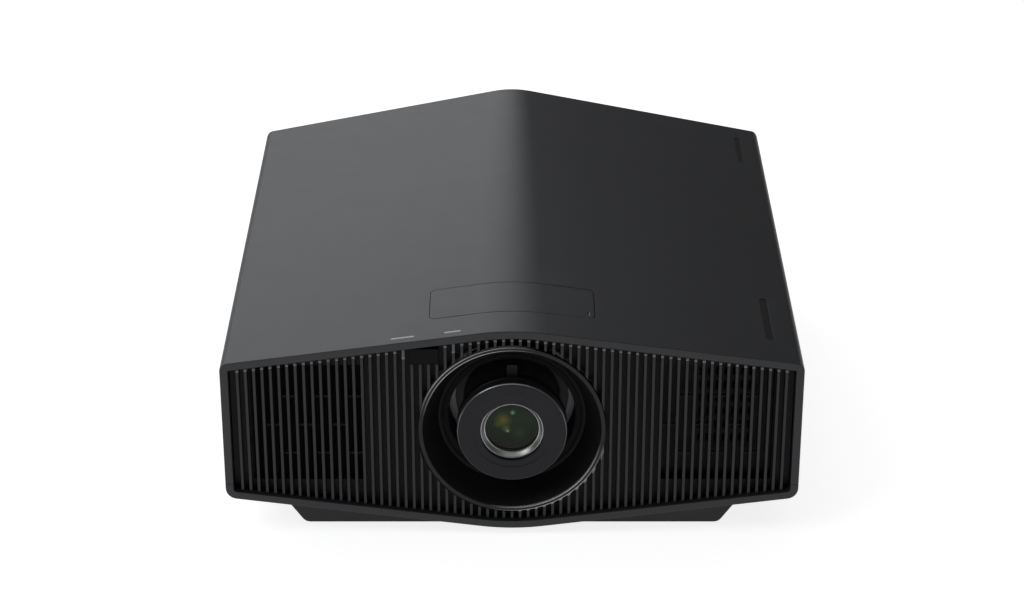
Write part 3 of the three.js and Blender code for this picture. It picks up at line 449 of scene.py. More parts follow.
def brushed_steel():
    base = (0.44, 0.45, 0.47)
    finish = Finish("brushed_steel", base, metallic=1.0)
    brushed = finish.noise(700, 3, stretch=(1, 1, 0.05))
    finish.mottle(finish.noise(60, 2), base, 0.8, 1.1)
    finish.feed("Roughness", brushed * 0.2 + 0.28)
    return finish.bump(brushed, 0.15, 0.00004)


def plated_sockets():
    base = (0.62, 0.62, 0.63)
    finish = Finish("nickel_plating", base, metallic=1.0)
    finish.mottle(finish.noise(160, 3), base, 0.7, 1.1)
    finish.feed("Roughness", finish.noise(500, 3) * 0.16 + 0.2)
    return finish.bump(finish.noise(900, 2), 0.1, 0.00004)


def gold_contacts():
    base = (0.83, 0.60, 0.22)
    finish = Finish("gold_contacts", base, metallic=1.0)
    finish.mottle(finish.noise(300, 2), base, 0.85, 1.1)
    return finish.feed("Roughness", finish.noise(900, 2) * 0.12 + 0.2)


def engine_black():
    return moulded("engine_black", (0.022, 0.022, 0.024), 0.55, grain=700, depth=0.0001)


def phosphor_disc():
    """Polished hub with a matt band of phosphor near the rim."""
    low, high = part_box("phosphor_wheel")
    centre = ((low.x + high.x) / 2, 0, (low.z + high.z) / 2)
    coating = (*swatch("phosphor"), 1)
    finish = Finish("phosphor_disc", (0.7, 0.7, 0.72))
    radius = finish.distance(centre)
    band = radius.above(0.020) * (1 - radius.above(0.0285))
    speckle = finish.blend(finish.noise(2200, 2), coating, shade(coating[:3], 0.8))
    finish.feed("Base Color", finish.blend(band, (0.7, 0.7, 0.72, 1), speckle))
    finish.feed("Metallic", 1 - band)
    return finish.feed("Roughness", band * 0.5 + (finish.noise(400, 2) * 0.1 + 0.15))


def circuit_board():
    """Green solder mask with etched tracks and a dusting of pads."""
    base = swatch("board")
    finish = Finish("circuit_board", base, coat_weight=0.3, coat_roughness=0.2)
    place = finish.place()
    track = finish.axis("X", place) * 2400 + finish.noise(90, 0) * 26
    lines = track.math("SINE", track).above(0.55)
    pads = finish.add("ShaderNodeTexVoronoi", {"feature": "F1"}, {"Vector": place, "Scale": 260.0})
    copper = 1 - Signal(finish, pads.outputs["Distance"]).above(0.16)
    tone = finish.blend(lines * 0.5, shade(base, 0.8), shade(base, 1.9))
    finish.feed("Base Color", finish.blend(copper, tone, (0.42, 0.40, 0.34, 1)))
    finish.feed("Metallic", copper * 0.9)
    finish.feed("Roughness", finish.noise(300, 2) * 0.15 + 0.32)
    return finish.bump(lines + copper, 0.25, 0.00005)


def soft_rubber():
    base = swatch("rubber")
    return moulded("soft_rubber", base, 0.8, grain=900, depth=0.0001, spread=0.1)


def printed_dash():
    return moulded("printed_dash", (0.95, 0.95, 0.95), 0.5, grain=2500)


def inlay():
    base = swatch("shell")
    return moulded("pressed_mark", shade(base, 0.32)[:3], 0.3, grain=3000)


def optical_glass():
    """Coated glass whose tint drifts from blue to violet."""
    base, blue, violet = (0.30, 0.36, 0.42), (0.2, 0.3, 0.38, 1), (0.36, 0.3, 0.42, 1)
    finish = Finish("optical_glass", base, coat_weight=1.0, coat_roughness=0.02, metallic=0.2)
    finish.feed("Base Color", finish.blend(finish.noise(60, 1), blue, violet))
    return finish.feed("Roughness", finish.noise(400, 2) * 0.06 + 0.05)


MAKERS = {
    "shell": painted_shell, "grille": moulded_grille, "funnel": satin_funnel,
    "black_moulding": black_moulding, "smoked_window": smoked_window, "light_guide": light_guide,
    "lens_ring": anodised_ring, "bright_ring": bright_ring, "lens_glass": coated_glass,
    "dials": dial_moulding, "buttons": button_moulding, "cast_alloy": cast_alloy,
    "steel": brushed_steel, "fan": fan_black, "fin_tip": fin_tip, "lens_tube": lens_tube,
    "filter_felt": filter_felt, "sheet": blackened_sheet, "plated_sockets": plated_sockets,
    "engine_black": engine_black,
    "phosphor": phosphor_disc, "circuit_board": circuit_board, "rubber": soft_rubber,
    "gold": gold_contacts, "dash": printed_dash, "inlay": inlay, "optics": optical_glass,
}
made = {}


def material(kind):
    """The material of a slot or special finish, made the first time it is asked for."""
    if kind not in made:
        made[kind] = MAKERS[kind]().material
    return made[kind]


# ---- Mesh helpers ------------------------------------------------------------------------------
def tidy(bm, distance=1e-6):
    bmesh.ops.remove_doubles(bm, verts=bm.verts, dist=distance)
    bmesh.ops.recalc_face_normals(bm, faces=bm.faces)


def rounded(corners, radii, steps):
    """A closed outline with each corner replaced by an arc of its radius, or kept where steps is 0."""
    points = []
    for i, corner in enumerate(corners):
        if steps[i] == 0:
            points.append(corner)
            continue
        before = (corners[i - 1] - corner).normalized()
        after = (corners[(i + 1) % len(corners)] - corner).normalized()
        half = before.angle(after) / 2
        centre = corner + (before + after).normalized() * (radii[i] / math.sin(half))
        start = corner + before * (radii[i] / math.tan(half)) - centre
        sweep = (math.pi - 2 * half) * math.copysign(1, after.cross(before))
        for step in range(steps[i] + 1):
            points.append(centre + Matrix.Rotation(sweep * step / steps[i], 2) @ start)
    return points


def rectangle(x0, x1, y0, y1, radius=0.0, steps=4):
    corners = [Vector(c) for c in ((x0, y0), (x1, y0), (x1, y1), (x0, y1))]
    return rounded(corners, [radius] * 4, [steps if radius else 0] * 4)


def circle(x, y, radius, sides):
    angles = [2 * math.pi * i / sides for i in range(sides)]
    return [Vector((x + radius * math.cos(a), y + radius * math.sin(a))) for a in angles]


def on_y(point, along):
    return (point.x, along, point.y)


def on_z(point, along):
    return (point.x, point.y, along)


def loop(bm, outline, put, along):
    """A closed loop of edges; put places the outline across Y or Z."""
    verts = [bm.verts.new(put(point, along)) for point in outline]
    return [bm.edges.new((a, b)) for a, b in zip(verts, verts[1:] + verts[:1])]


def prism(bm, outlines, put, low, high):
    """A plate from low to high; outlines after the first are holes in it."""
    edges = [edge for outline in outlines for edge in loop(bm, outline, put, low)]
    faces = bmesh.ops.triangle_fill(bm, edges=edges, use_beauty=True)["geom"]
    faces = [face for face in faces if isinstance(face, bmesh.types.BMFace)]
    risen = bmesh.ops.extrude_face_region(bm, geom=faces)["geom"]
    verts = [vert for vert in risen if isinstance(vert, bmesh.types.BMVert)]
    origin, shift = Vector(put(Vector((0, 0)), low)), Vector(put(Vector((0, 0)), high))
    bmesh.ops.translate(bm, verts=verts, vec=shift - origin)


def bevel(bm, edges, width, segments=2):
    """Rounds edges; the result lists the new faces and vertices."""
    return bmesh.ops.bevel(
        bm, geom=edges, offset=width, offset_type="OFFSET", segments=segments, profile=0.5,
        affect="EDGES", clamp_overlap=True, material=-1,
    )


def block(bm, low, high, width=0.0003, segments=1, turn=None):
    """A box between two corners with bevelled edges; turn is a matrix about its middle."""
    low, high = Vector(low), Vector(high)
    verts = bmesh.ops.create_cube(bm, size=1)["verts"]
    bmesh.ops.scale(bm, verts=verts, vec=high - low)
    if width:
        edges = list({edge for vert in verts for edge in vert.link_edges})
        result = bevel(bm, edges, width, segments)
        fresh = {vert for face in result["faces"] for vert in face.verts}
        verts = list(fresh | {vert for vert in verts if vert.is_valid})
    if turn:
        bmesh.ops.transform(bm, verts=verts, matrix=turn)
    bmesh.ops.translate(bm, verts=verts, vec=(low + high) / 2)


def turned(bm, profile, centre, start, axis="Y", steps=None, closed=True):
    """Spins a profile a full turn about the axis through centre.

    Its points are radii and distances from start along the axis, in millimetres. An open
    profile starts and ends on the axis, so the skin has no hole either way.
    """
    steps = steps or sizes().turning_steps
    across, (first, second) = axis == "Y", centre
    points = []
    for r, along in profile:
        x, level = first + r * MM, start + along * MM
        points.append((x, level, second) if across else (x, second, level))
    verts = [bm.verts.new(point) for point in points]
    pairs = zip(verts, verts[1:] + verts[:1]) if closed else zip(verts, verts[1:])
    edges = [bm.edges.new(pair) for pair in pairs]
    middle = (first, 0, second) if across else (first, second, 0)
    direction = (0, 1, 0) if across else (0, 0, 1)
    before = set(bm.verts)
    bmesh.ops.spin(
        bm, geom=verts + edges, cent=middle, axis=direction, angle=2 * math.pi, steps=steps,
        use_merge=True, use_duplicate=False,
    )
    fresh = [vert for vert in bm.verts if vert not in before] + verts
    bmesh.ops.remove_doubles(bm, verts=fresh, dist=1e-6)
    bmesh.ops.dissolve_degenerate(bm, dist=1e-7, edges=bm.edges)


def lathe(profile, centre, start, axis="Y", **spin):
    """A new bmesh with one turned shape."""
    bm = bmesh.new()
    turned(bm, profile, centre, start, axis, **spin)
    tidy(bm)
    return bm


def turns(edge, angle):
    """True where two faces meet at more than angle degrees."""
    return len(edge.link_faces) == 2 and edge.calc_face_angle() > math.radians(angle)


def linked(name, data):
    """A new object in the scene."""
    made_object = bpy.data.objects.new(name, data)
    bpy.context.scene.collection.objects.link(made_object)
    return made_object


def placed(name, bm):
    """Turns a bmesh into an object, and frees it."""
    mesh = bpy.data.meshes.new(name)
    bm.to_mesh(mesh)
    bm.free()
    return linked(name, mesh)


def piece(name, bm, body, slot, kind=None, replaces=(), angle=32):
    """Turns a bmesh into a piece that rides on body and takes its finish from kind or slot."""
    made_piece = placed(name, bm)
    smooth(made_piece, angle)
    made_piece.data.materials.append(material(kind or slot))
    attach(made_piece, body)
    if replaces:
        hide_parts(*replaces)
    return made_piece


def stand_in(node, label, bm, kind=None, angle=32):
    """A piece that stands for one CAD node, with the body and the slot of the record."""
    return piece(f"{node}_{label}", bm, BODY_OF[node], SLOT_OF[node], kind, [node], angle)


def smooth(subject, angle=32):
    """Smooth shading up to angle, with flat faces kept flat beside their rounded edges."""
    subject.data.shade_smooth()
    subject.data.set_sharp_from_angle(angle=math.radians(angle))
    if not subject.modifiers:
        normals = subject.modifiers.new("normals", "WEIGHTED_NORMAL")
        normals.keep_sharp = True


def cut(subject, bm, operation="DIFFERENCE"):
    """Cuts subject with the closed shapes in bm, or keeps what lies inside them."""
    tidy(bm)
    cutter = placed("cutter", bm)
    mesh = cutter.data
    modifier = subject.modifiers.new("cut", "BOOLEAN")
    modifier.operation, modifier.solver, modifier.object = operation, "EXACT", cutter
    bpy.context.view_layer.update()
    evaluated = subject.evaluated_get(bpy.context.evaluated_depsgraph_get())
    shaped = bpy.data.meshes.new_from_object(evaluated)
    subject.modifiers.clear()
    old, subject.data = subject.data, shaped
    bpy.data.meshes.remove(old)
    bpy.data.objects.remove(cutter)
    bpy.data.meshes.remove(mesh)


def punch(subject, outline, low=BELOW_ROOF, operation="DIFFERENCE"):
    """Cuts subject with an upright prism from low to above the roof, or keeps what lies inside it."""
    bm = bmesh.new()
    prism(bm, [outline], on_z, low, ABOVE_ROOF)
    cut(subject, bm, operation)


def refined(node, width=0.0004, segments=2, kind=None, extra=None):
    """A copy of a CAD node with merged faces and rounded edges; extra(bm, node) adds details to it."""
    bm = bmesh.new()
    bm.from_mesh(frame["nodes"][node].data)
    bmesh.ops.remove_doubles(bm, verts=bm.verts, dist=1e-5)
    bmesh.ops.dissolve_limit(
        bm, angle_limit=math.radians(0.8), use_dissolve_boundaries=False, verts=bm.verts,
        edges=bm.edges,
    )
    bevel(bm, [edge for edge in bm.edges if turns(edge, 30)], width, segments)
    if extra:
        extra(bm, node)
    return stand_in(node, "finished", bm, kind)


def middle_of(node):
    low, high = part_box(node)
    return (low + high) / 2


def round_node(node, across="xz"):
    """A node's corners, its centre across two axes, and half its width in millimetres."""
    low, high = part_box(node)
    centre = tuple((getattr(low, axis) + getattr(high, axis)) / 2 for axis in across)
    return low, high, centre, (high.x - low.x) / 2 / MM


def span_of(node, front):
    """Outer radius of a lens part and how far behind front it starts and ends, in millimetres."""
    low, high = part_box(node)
    return high.x / MM, (low.y - front) / MM, (high.y - front) / MM


# ---- Body outline ------------------------------------------------------------------------------
def body_outline(y, inset=0.0):
    """The six-sided section at depth y, drawn in by inset, with crease, keel and corners rounded."""
    s = sizes()
    along = (y - Y_FRONT) / (Y_REAR - Y_FRONT)
    crown = CASE_TOP.z - s.ridge_fall * (1 - along)
    blend = s.ridge_blend_front + (s.ridge_blend_rear - s.ridge_blend_front) * along
    width = 2 * HALF_WIDTH
    apex = s.side_top + (crown - s.side_top) / (1 - blend / width)
    keel = s.side_bottom - (s.side_bottom - s.keel) / (1 - s.keel_blend / width)
    roof_slope = (apex - s.side_top) / HALF_WIDTH
    keel_slope = (s.side_bottom - keel) / HALF_WIDTH
    side = HALF_WIDTH - inset

    def roof(x):
        return Vector((x, apex - roof_slope * abs(x) - inset * math.hypot(1, roof_slope)))

    def floor(x):
        return Vector((x, keel + keel_slope * abs(x) + inset * math.hypot(1, keel_slope)))

    top = max(s.top_radius - inset, 0.5 * MM)
    bottom = max(s.bottom_radius - inset, 0.5 * MM)
    corners = [
        roof(0), roof(side / 3), roof(2 * side / 3), roof(side),
        floor(side), floor(side / 2), floor(0), floor(-side / 2), floor(-side),
        roof(-side), roof(-2 * side / 3), roof(-side / 3),
    ]
    crease, bend = blend / roof_slope, s.keel_blend / keel_slope
    radii = [crease, 0, 0, top, bottom, 0, bend, 0, bottom, top, 0, 0]
    steps = [10, 0, 0, 7, 7, 0, 10, 0, 7, 7, 0, 0]
    return rounded(corners, radii, steps)


def roof_height(x, y):
    """Height of the roof's outer face."""
    return outline_span(x, body_outline(y))[1]


def outline_span(x, outline):
    """Lowest and highest point of an outline at x."""
    heights = []
    for a, b in zip(outline, outline[1:] + outline[:1]):
        if a.x != b.x and (x - a.x) * (x - b.x) <= 0:
            heights.append(a.y + (b.y - a.y) * (x - a.x) / (b.x - a.x))
    return min(heights), max(heights)


def body_rings(stations):
    """A closed skin through (y, inset) stations, or (y, inset, section) where the section is fixed."""
    bm = bmesh.new()
    edges, verts = [], []
    for y, inset, *section in [*stations, stations[0]]:
        outline = body_outline(section[0] if section else y, inset)
        if not edges:
            edges = loop(bm, outline, on_y, y)
            verts = bm.verts[:]
            continue
        order = {vert.co.to_tuple(7): i for i, vert in enumerate(verts)}
        risen = bmesh.ops.extrude_edge_only(bm, edges=edges)["geom"]
        verts = [item for item in risen if isinstance(item, bmesh.types.BMVert)]
        edges = [
            item for item in risen
            if isinstance(item, bmesh.types.BMEdge) and all(vert in verts for vert in item.verts)
        ]
        verts.sort(key=lambda vert: order[vert.co.to_tuple(7)])
        for vert, point in zip(verts, outline):
            vert.co = on_y(point, y)
    tidy(bm)
    return bm


def shell_stations():
    """Bezel, outside, rear rounding, rear frame and inside of the casing, in order."""
    s = sizes()
    radius, opening = s.rear_radius, s.rear_radius + s.rear_frame
    bezel_end, frame_start = Y_FRONT + s.bezel_depth, Y_REAR - s.rear_frame_depth
    soft = 0.7 * MM  # rounding of the bezel's front edges
    chamfer = 0.5 * MM

    def rounding(size, angles):
        """How far back and how far in each step of a quarter round lies."""
        for angle in angles:
            turn = math.radians(angle)
            yield size * (1 - math.sin(turn)), size * (1 - math.cos(turn))

    stations = [(bezel_end, s.bezel, Y_FRONT)]
    for back, drawn in rounding(soft, (0, 45, 90)):
        stations.append((Y_FRONT + back, s.bezel - drawn, Y_FRONT))
    for back, drawn in rounding(soft, (90, 60, 30, 0)):
        stations.append((Y_FRONT + back, drawn, Y_FRONT))
    for share in (0.25, 0.5, 0.75, 1):
        stations.append((Y_FRONT + (Y_REAR - radius - Y_FRONT) * share, 0))
    for back, drawn in rounding(radius, (15, 30, 45, 60, 75, 90)):
        stations.append((Y_REAR - back, drawn))
    stations += [
        (Y_REAR, opening - chamfer, frame_start), (Y_REAR - chamfer, opening, frame_start),
        (frame_start, opening, frame_start), (frame_start, s.wall), (0, s.wall), (bezel_end, s.wall),
    ]
    return stations


def half_shell(keep_above, level):
    """The casing above or below a level plane, closed along the cut."""
    bm = body_rings(shell_stations())
    normal = (0, 0, 1 if keep_above else -1)
    found = bmesh.ops.bisect_plane(
        bm, geom=bm.verts[:] + bm.edges[:] + bm.faces[:], dist=1e-7, plane_co=(0, 0, level),
        plane_no=normal, clear_inner=True,
    )
    edges = [item for item in found["geom_cut"] if isinstance(item, bmesh.types.BMEdge)]
    bmesh.ops.triangle_fill(bm, edges=edges, use_beauty=True)
    tidy(bm)
    return bm


def roof_skin(high, low, y0, y1):
    """A closed sheet that follows the roof, from high above it to low below it."""
    return body_rings([(y0, -high), (y1, -high), (y1, low), (y0, low)])


def lid_outline(grow=0.0, steps=8):
    """Outline of the lens-shift lid in plan, grown outwards."""
    low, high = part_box("shift_lid")
    return rectangle(low.x - grow, high.x + grow, low.y - grow, high.y + grow, 5 * MM + grow, steps)


def pill(x0, x1, y0, y1):
    radius = min(x1 - x0, y1 - y0) / 2
    return rectangle(x0, x1, y0, y1, radius * 0.999, 6)


# ---- Operators: casing -------------------------------------------------------------------------
class ProjectorPart:
    """What the operators have in common."""

    bl_options = {"REGISTER", "UNDO"}

    def execute(self, context):
        self.make()
        return {"FINISHED"}


# Pressed pills and printed dashes on the roof: x range and distances behind the front, in millimetres.
MARKS = ((202, 208.5, 36, 108), (206, 211.5, 384, 440))
DASHES = ((-95, -77, 7.5, 9.3), (-53, -40, 7.5, 9.3))


def on_roof(patch):
    """The x range and the y range of a mark, in metres."""
    x0, x1, near, far = (value * MM for value in patch)
    return x0, x1, Y_FRONT + near, Y_FRONT + far


class PROJECTOR_OT_top_cover(ProjectorPart, bpy.types.Operator):
    """Makes the creased cover with its bezel, rear frame, lid opening, pressed marks and dashes"""

    bl_idname = "projector.top_cover"
    bl_label = "Top Cover"

    def make(self):
        cover = stand_in("top_cover", "shell", half_shell(True, SEAM + SEAM_GAP / 2), angle=24)
        punch(cover, lid_outline(LID_GAP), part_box("dial_tray")[0].z)
        for i, patch in enumerate(MARKS, 1):
            self.pressed_mark(cover, f"pressed_mark_{i}", *on_roof(patch))
        smooth(cover, 24)
        for i, patch in enumerate(DASHES, 1):
            self.dash(f"roof_dash_{i}", *on_roof(patch))

    def pressed_mark(self, cover, name, x0, x1, y0, y1):
        """A shallow recess with a darker floor."""
        depth = 0.5 * MM
        layers = ((0, 1 * MM, depth, True), (-0.1 * MM, -depth * 0.7, depth * 1.6, False))
        for grow, high, low, hollow in layers:
            recess = placed(name, roof_skin(high, low, y0 - 5 * MM, y1 + 5 * MM))
            outline = pill(x0 - grow, x1 + grow, y0 - grow, y1 + grow)
            punch(recess, outline, operation="INTERSECT")
            if hollow:
                bm = bmesh.new()
                bm.from_mesh(recess.data)
                bpy.data.objects.remove(recess)
                cut(cover, bm)
            else:
                smooth(recess)
                recess.data.materials.append(material("inlay"))
                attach(recess, "body")

    def dash(self, name, x0, x1, y0, y1):
        bm = roof_skin(0.05 * MM, 0.2 * MM, y0 - 5 * MM, y1 + 5 * MM)
        mark = piece(name, bm, "body", "shell", "dash")
        punch(mark, rectangle(x0, x1, y0, y1, 0.4 * MM), operation="INTERSECT")
        smooth(mark)


class PROJECTOR_OT_bottom_case(ProjectorPart, bpy.types.Operator):
    """Makes the V-shaped lower case with the posts that carry the engine, boards and fans"""

    bl_idname = "projector.bottom_case"
    bl_label = "Bottom Case"

    def make(self):
        bm = half_shell(False, SEAM - SEAM_GAP / 2)
        stands = (("engine_housing", 12, 20), ("power_board", 8, 12), ("main_board", 8, 12))
        for node, from_side, from_end in stands:
            low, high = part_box(node)
            for x in (low.x + from_side * MM, high.x - from_side * MM):
                for y in (low.y + from_end * MM, high.y - from_end * MM):
                    self.post(bm, x, y, low.z, 4 * MM)
        for label, _ in SIDES:
            centre, low = middle_of(f"{label}_fan_frame"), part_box(f"{label}_fan_frame")[0]
            self.post(bm, centre.x, centre.y, low.z, 9 * MM)
        stand_in("bottom_case", "shell", bm, angle=24)

    def post(self, bm, x, y, top, half):
        floor = outline_span(x, body_outline(y))[0] + sizes().wall / 2
        block(bm, (x - half, y - half, floor), (x + half, y + half, top - 0.3 * MM), 0.6 * MM)


class PROJECTOR_OT_shift_lid(ProjectorPart, bpy.types.Operator):
    """Makes the lid over the shift dials with its hooks, catch and press mark"""

    bl_idname = "projector.shift_lid"
    bl_label = "Shift Lid"

    def make(self):
        s = sizes()
        low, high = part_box("shift_lid")
        bm = roof_skin(0, s.lid_thickness, low.y - 5 * MM, high.y + 5 * MM)
        lid = stand_in("shift_lid", "panel", bm, angle=24)
        punch(lid, lid_outline(), operation="INTERSECT")
        x, y = high.x - 4.5 * MM, low.y + 8 * MM  # middle of the press mark
        bm = bmesh.new()
        bmesh.ops.create_uvsphere(bm, u_segments=20, v_segments=12, radius=0.0021)
        bmesh.ops.scale(bm, verts=bm.verts, vec=(0.55, 1.9, 0.35))
        bmesh.ops.translate(bm, verts=bm.verts, vec=(x, y, roof_height(x, y) + 0.25 * MM))
        cut(lid, bm)
        bm = bmesh.new()
        bm.from_mesh(lid.data)
        bevel(bm, [edge for edge in bm.edges if self.on_rim(edge)], 0.35 * MM)
        middle = (low.y + high.y) / 2
        top = roof_height(high.x, middle) - 1 * MM
        hooks = [(low.x + 1 * MM, low.x + 9 * MM, middle + y, 3 * MM, 5 * MM) for y in (-0.012, 0.012)]
        catch = (high.x - 6 * MM, high.x - 3 * MM, middle, 5 * MM, 6 * MM)
        for x0, x1, y, half, drop in (*hooks, catch):
            block(bm, (x0, y - half, top - drop), (x1, y + half, top), 0.4 * MM, 2)
        bm.to_mesh(lid.data)
        bm.free()
        smooth(lid, 24)

    def on_rim(self, edge):
        """True on the lid's top outline, where the roof meets the vertical edge."""
        if not turns(edge, 60):
            return False
        steep = sorted(abs(face.normal.z) for face in edge.link_faces)
        faces_up = max(face.normal.z for face in edge.link_faces) > 0.8
        return steep[0] < 0.2 and faces_up and all(
            vert.co.z > roof_height(vert.co.x, vert.co.y) - 0.2 * MM for vert in edge.verts
        )


# ---- Operators: front --------------------------------------------------------------------------
def windows():
    """X ranges of the two vent windows behind the fins."""
    low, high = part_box("exhaust_screen")
    inner, outer = low.x + 2 * MM, high.x - 2 * MM
    return [(-outer, -inner), (inner, outer)]


CLEARANCE = 0.3 * MM  # between the grille and what sits in it
PLATE = 2.5 * MM  # thickness of the plate behind the fins
BRIDGE_ROWS = (23, 48.75, 74.5)  # heights of the bridges above the foot of a window, in millimetres


class PROJECTOR_OT_grille(ProjectorPart, bpy.types.Operator):
    """Makes the finned grille, its vent windows and bridges"""

    bl_idname = "projector.grille"
    bl_label = "Front Grille"

    def make(self):
        s = sizes()
        low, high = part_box("front_grille")
        self.fin_front, plate_back = low.y, high.y
        self.plate_front = plate_back - PLATE
        self.outline = body_outline(Y_FRONT, s.bezel + CLEARANCE)
        self.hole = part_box("lens_funnel")[1].x + CLEARANCE
        bm = bmesh.new()
        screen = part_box("exhaust_screen")
        bottom, top = screen[0].z + 2 * MM, screen[1].z
        holes = [rectangle(x0, x1, bottom, top, 1.5 * MM) for x0, x1 in windows()]
        holes.append(circle(0, LENS_Z, self.hole, 96))
        prism(bm, [self.outline, *holes], on_y, self.plate_front, plate_back)
        tidy(bm)
        count = int((HALF_WIDTH - s.bezel - s.fin_width / 2 - 1 * MM) / s.fin_pitch)
        for i in range(-count, count + 1):
            self.fin(bm, i * s.fin_pitch)
        self.bridges(bm, bottom)
        fins = stand_in("front_grille", "fins", bm, angle=30)
        # Second material: the painted highlight on the fin tips.
        fins.data.materials.append(material("fin_tip"))

    def fin(self, bm, x):
        """One fin: two lengths where the lens opening parts it, shorter below the sensor window."""
        half = sizes().fin_width / 2
        edges = (x - half, x + half)
        span = outline_span(abs(x) + half, self.outline)
        low, high = [span[0] + 0.2 * MM] * 2, [span[1] - 2.1 * MM] * 2
        # Fin tips carry a painted highlight, except under the sensor window and left of the lens below
        # it.
        tip_highlighted = True
        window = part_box("ir_window")
        if window[0].x - CLEARANCE < x + half and x - half < window[1].x + CLEARANCE:
            high = [window[0].z - CLEARANCE] * 2
            tip_highlighted = False
        for name in ("power_light_guide", "warning_light_guide"):
            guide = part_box(name)
            if guide[0].x < x + half and x - half < guide[1].x:
                self.slotted(bm, edges, guide[0].z - CLEARANCE, high[0])
                high = [guide[0].z - CLEARANCE] * 2
        if min(abs(e) for e in edges) < self.hole or edges[0] * edges[1] < 0:
            rise = [math.sqrt(max(self.hole**2 - e * e, 0)) for e in edges]
            self.bar(bm, edges, low, [LENS_Z - r for r in rise], x > 0)
            self.bar(bm, edges, [LENS_Z + r for r in rise], high, tip_highlighted)
        else:
            self.bar(bm, edges, low, high, tip_highlighted)

    def slotted(self, bm, edges, low, high):
        """The back of a fin that carries on behind a light guide."""
        behind_guide = self.fin_front + 3.3 * MM
        foot, top = (edges[0], behind_guide, low - 1 * MM), (edges[1], self.plate_front + 1 * MM, high)
        block(bm, foot, top, 0.2 * MM)

    def bar(self, bm, edges, low, high, tip_highlighted):
        """A fin with softened front edges whose ends follow the bezel or the lens opening."""
        if min(high[0] - low[0], high[1] - low[1]) < 1.5 * MM:
            return
        verts = bmesh.ops.create_cube(bm, size=1)["verts"]
        nose = [
            edge for vert in verts for edge in vert.link_edges
            if all(v.co.y < 0 < v.co.z for v in edge.verts)
        ]
        for vert in verts:
            side = vert.co.x > 0
            z = (high if vert.co.z > 0 else low)[side]
            ahead = vert.co.y < 0
            vert.co = (edges[side], self.fin_front if ahead else self.plate_front + 1 * MM, z)
        # The chamfer on the fin's top takes the second material, a painted highlight, on highlighted
        # fins.
        slope = bevel(bm, list(set(nose)), 1.3 * MM, 1)
        for face in slope["faces"]:
            face.material_index = int(tip_highlighted)
        near = {vert for vert in verts if vert.is_valid} | set(slope["verts"])
        front = {
            edge for vert in near for edge in vert.link_edges
            if all(abs(v.co.y - self.fin_front) < 1e-7 for v in edge.verts)
        }
        bevel(bm, list(front), 0.45 * MM)

    def bridges(self, bm, bottom):
        """Short bars that tie the fins together across the windows, every other pair in each row."""
        pitch = sizes().fin_pitch
        near, far = self.plate_front + 0.2 * MM, self.plate_front + 2.3 * MM
        for x0, x1 in windows():
            for row, height in enumerate(BRIDGE_ROWS):
                z = bottom + height * MM
                for i in range(math.ceil(x0 / pitch), int(x1 // pitch) - 1):
                    if (i + 2 * row) % 4 == 0 and (i + 2) * pitch <= x1:
                        end = ((i + 2) * pitch, far, z + 2.4 * MM)
                        block(bm, (i * pitch, near, z), end, 0.3 * MM)


class PROJECTOR_OT_window_and_guides(ProjectorPart, bpy.types.Operator):
    """Makes the remote-control window, the light guides and the perforated screen"""

    bl_idname = "projector.window_and_guides"
    bl_label = "Window and Guides"

    def make(self):
        refined("ir_window", 0.8 * MM, 3)
        for name in ("power_light_guide", "warning_light_guide"):
            refined(name, 0.5 * MM, 3)
        self.screen()
        self.filter()

    def filter(self):
        """Pleated dust filter in a thin frame, close behind the left vent window."""
        x0, x1 = windows()[0]
        bottom, top = (corner.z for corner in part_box("exhaust_screen"))
        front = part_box("front_grille")[1].y + 1.2 * MM
        walls, deep, sheet = 48, 6 * MM, 0.8 * MM  # two walls to a pleat
        folds = [Vector((x0 + (x1 - x0) * i / walls, front + deep * (i % 2))) for i in range(walls + 1)]
        outline = folds + [fold + Vector((0, sheet)) for fold in reversed(folds)]
        bm = bmesh.new()
        prism(bm, [outline], on_z, bottom, top)
        for low, high in ((bottom, bottom + 2 * MM), (top - 2 * MM, top)):
            block(bm, (x0, front, low), (x1, front + deep + sheet, high), 0.3 * MM)
        for x in (x0, x1):
            block(bm, (x - 1 * MM, front, bottom), (x + 1 * MM, front + deep + sheet, top), 0.3 * MM)
        piece("intake_dust_filter", bm, "body", SLOT_OF["front_grille"], "filter_felt")

    def screen(self):
        """Sheet with rows of square holes, folded along both sides."""
        low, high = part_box("exhaust_screen")
        front = high.y - 1.5 * MM
        columns, rows, pitch_x, pitch_z = 7, 6, 6.56 * MM, 12 * MM
        half_x, half_z = 2.4 * MM, 3.5 * MM
        first_x = (low.x + high.x) / 2 + 8 * MM - 3 * pitch_x
        holes = []
        for column in range(columns):
            for row in range(rows):
                x, z = first_x + column * pitch_x, high.z - 10 * MM - row * pitch_z
                holes.append(
                    rectangle(x - half_x, x + half_x, z - half_z, z + half_z, 0.5 * MM, 2)
                )
        bm = bmesh.new()
        prism(bm, [rectangle(low.x, high.x, low.z, high.z), *holes], on_y, front, high.y)
        tidy(bm)
        for x in (low.x, high.x - 2 * MM):
            block(bm, (x, low.y, low.z), (x + 2 * MM, high.y, high.z), 0.4 * MM, 2)
        stand_in("exhaust_screen", "sheet", bm, "sheet")


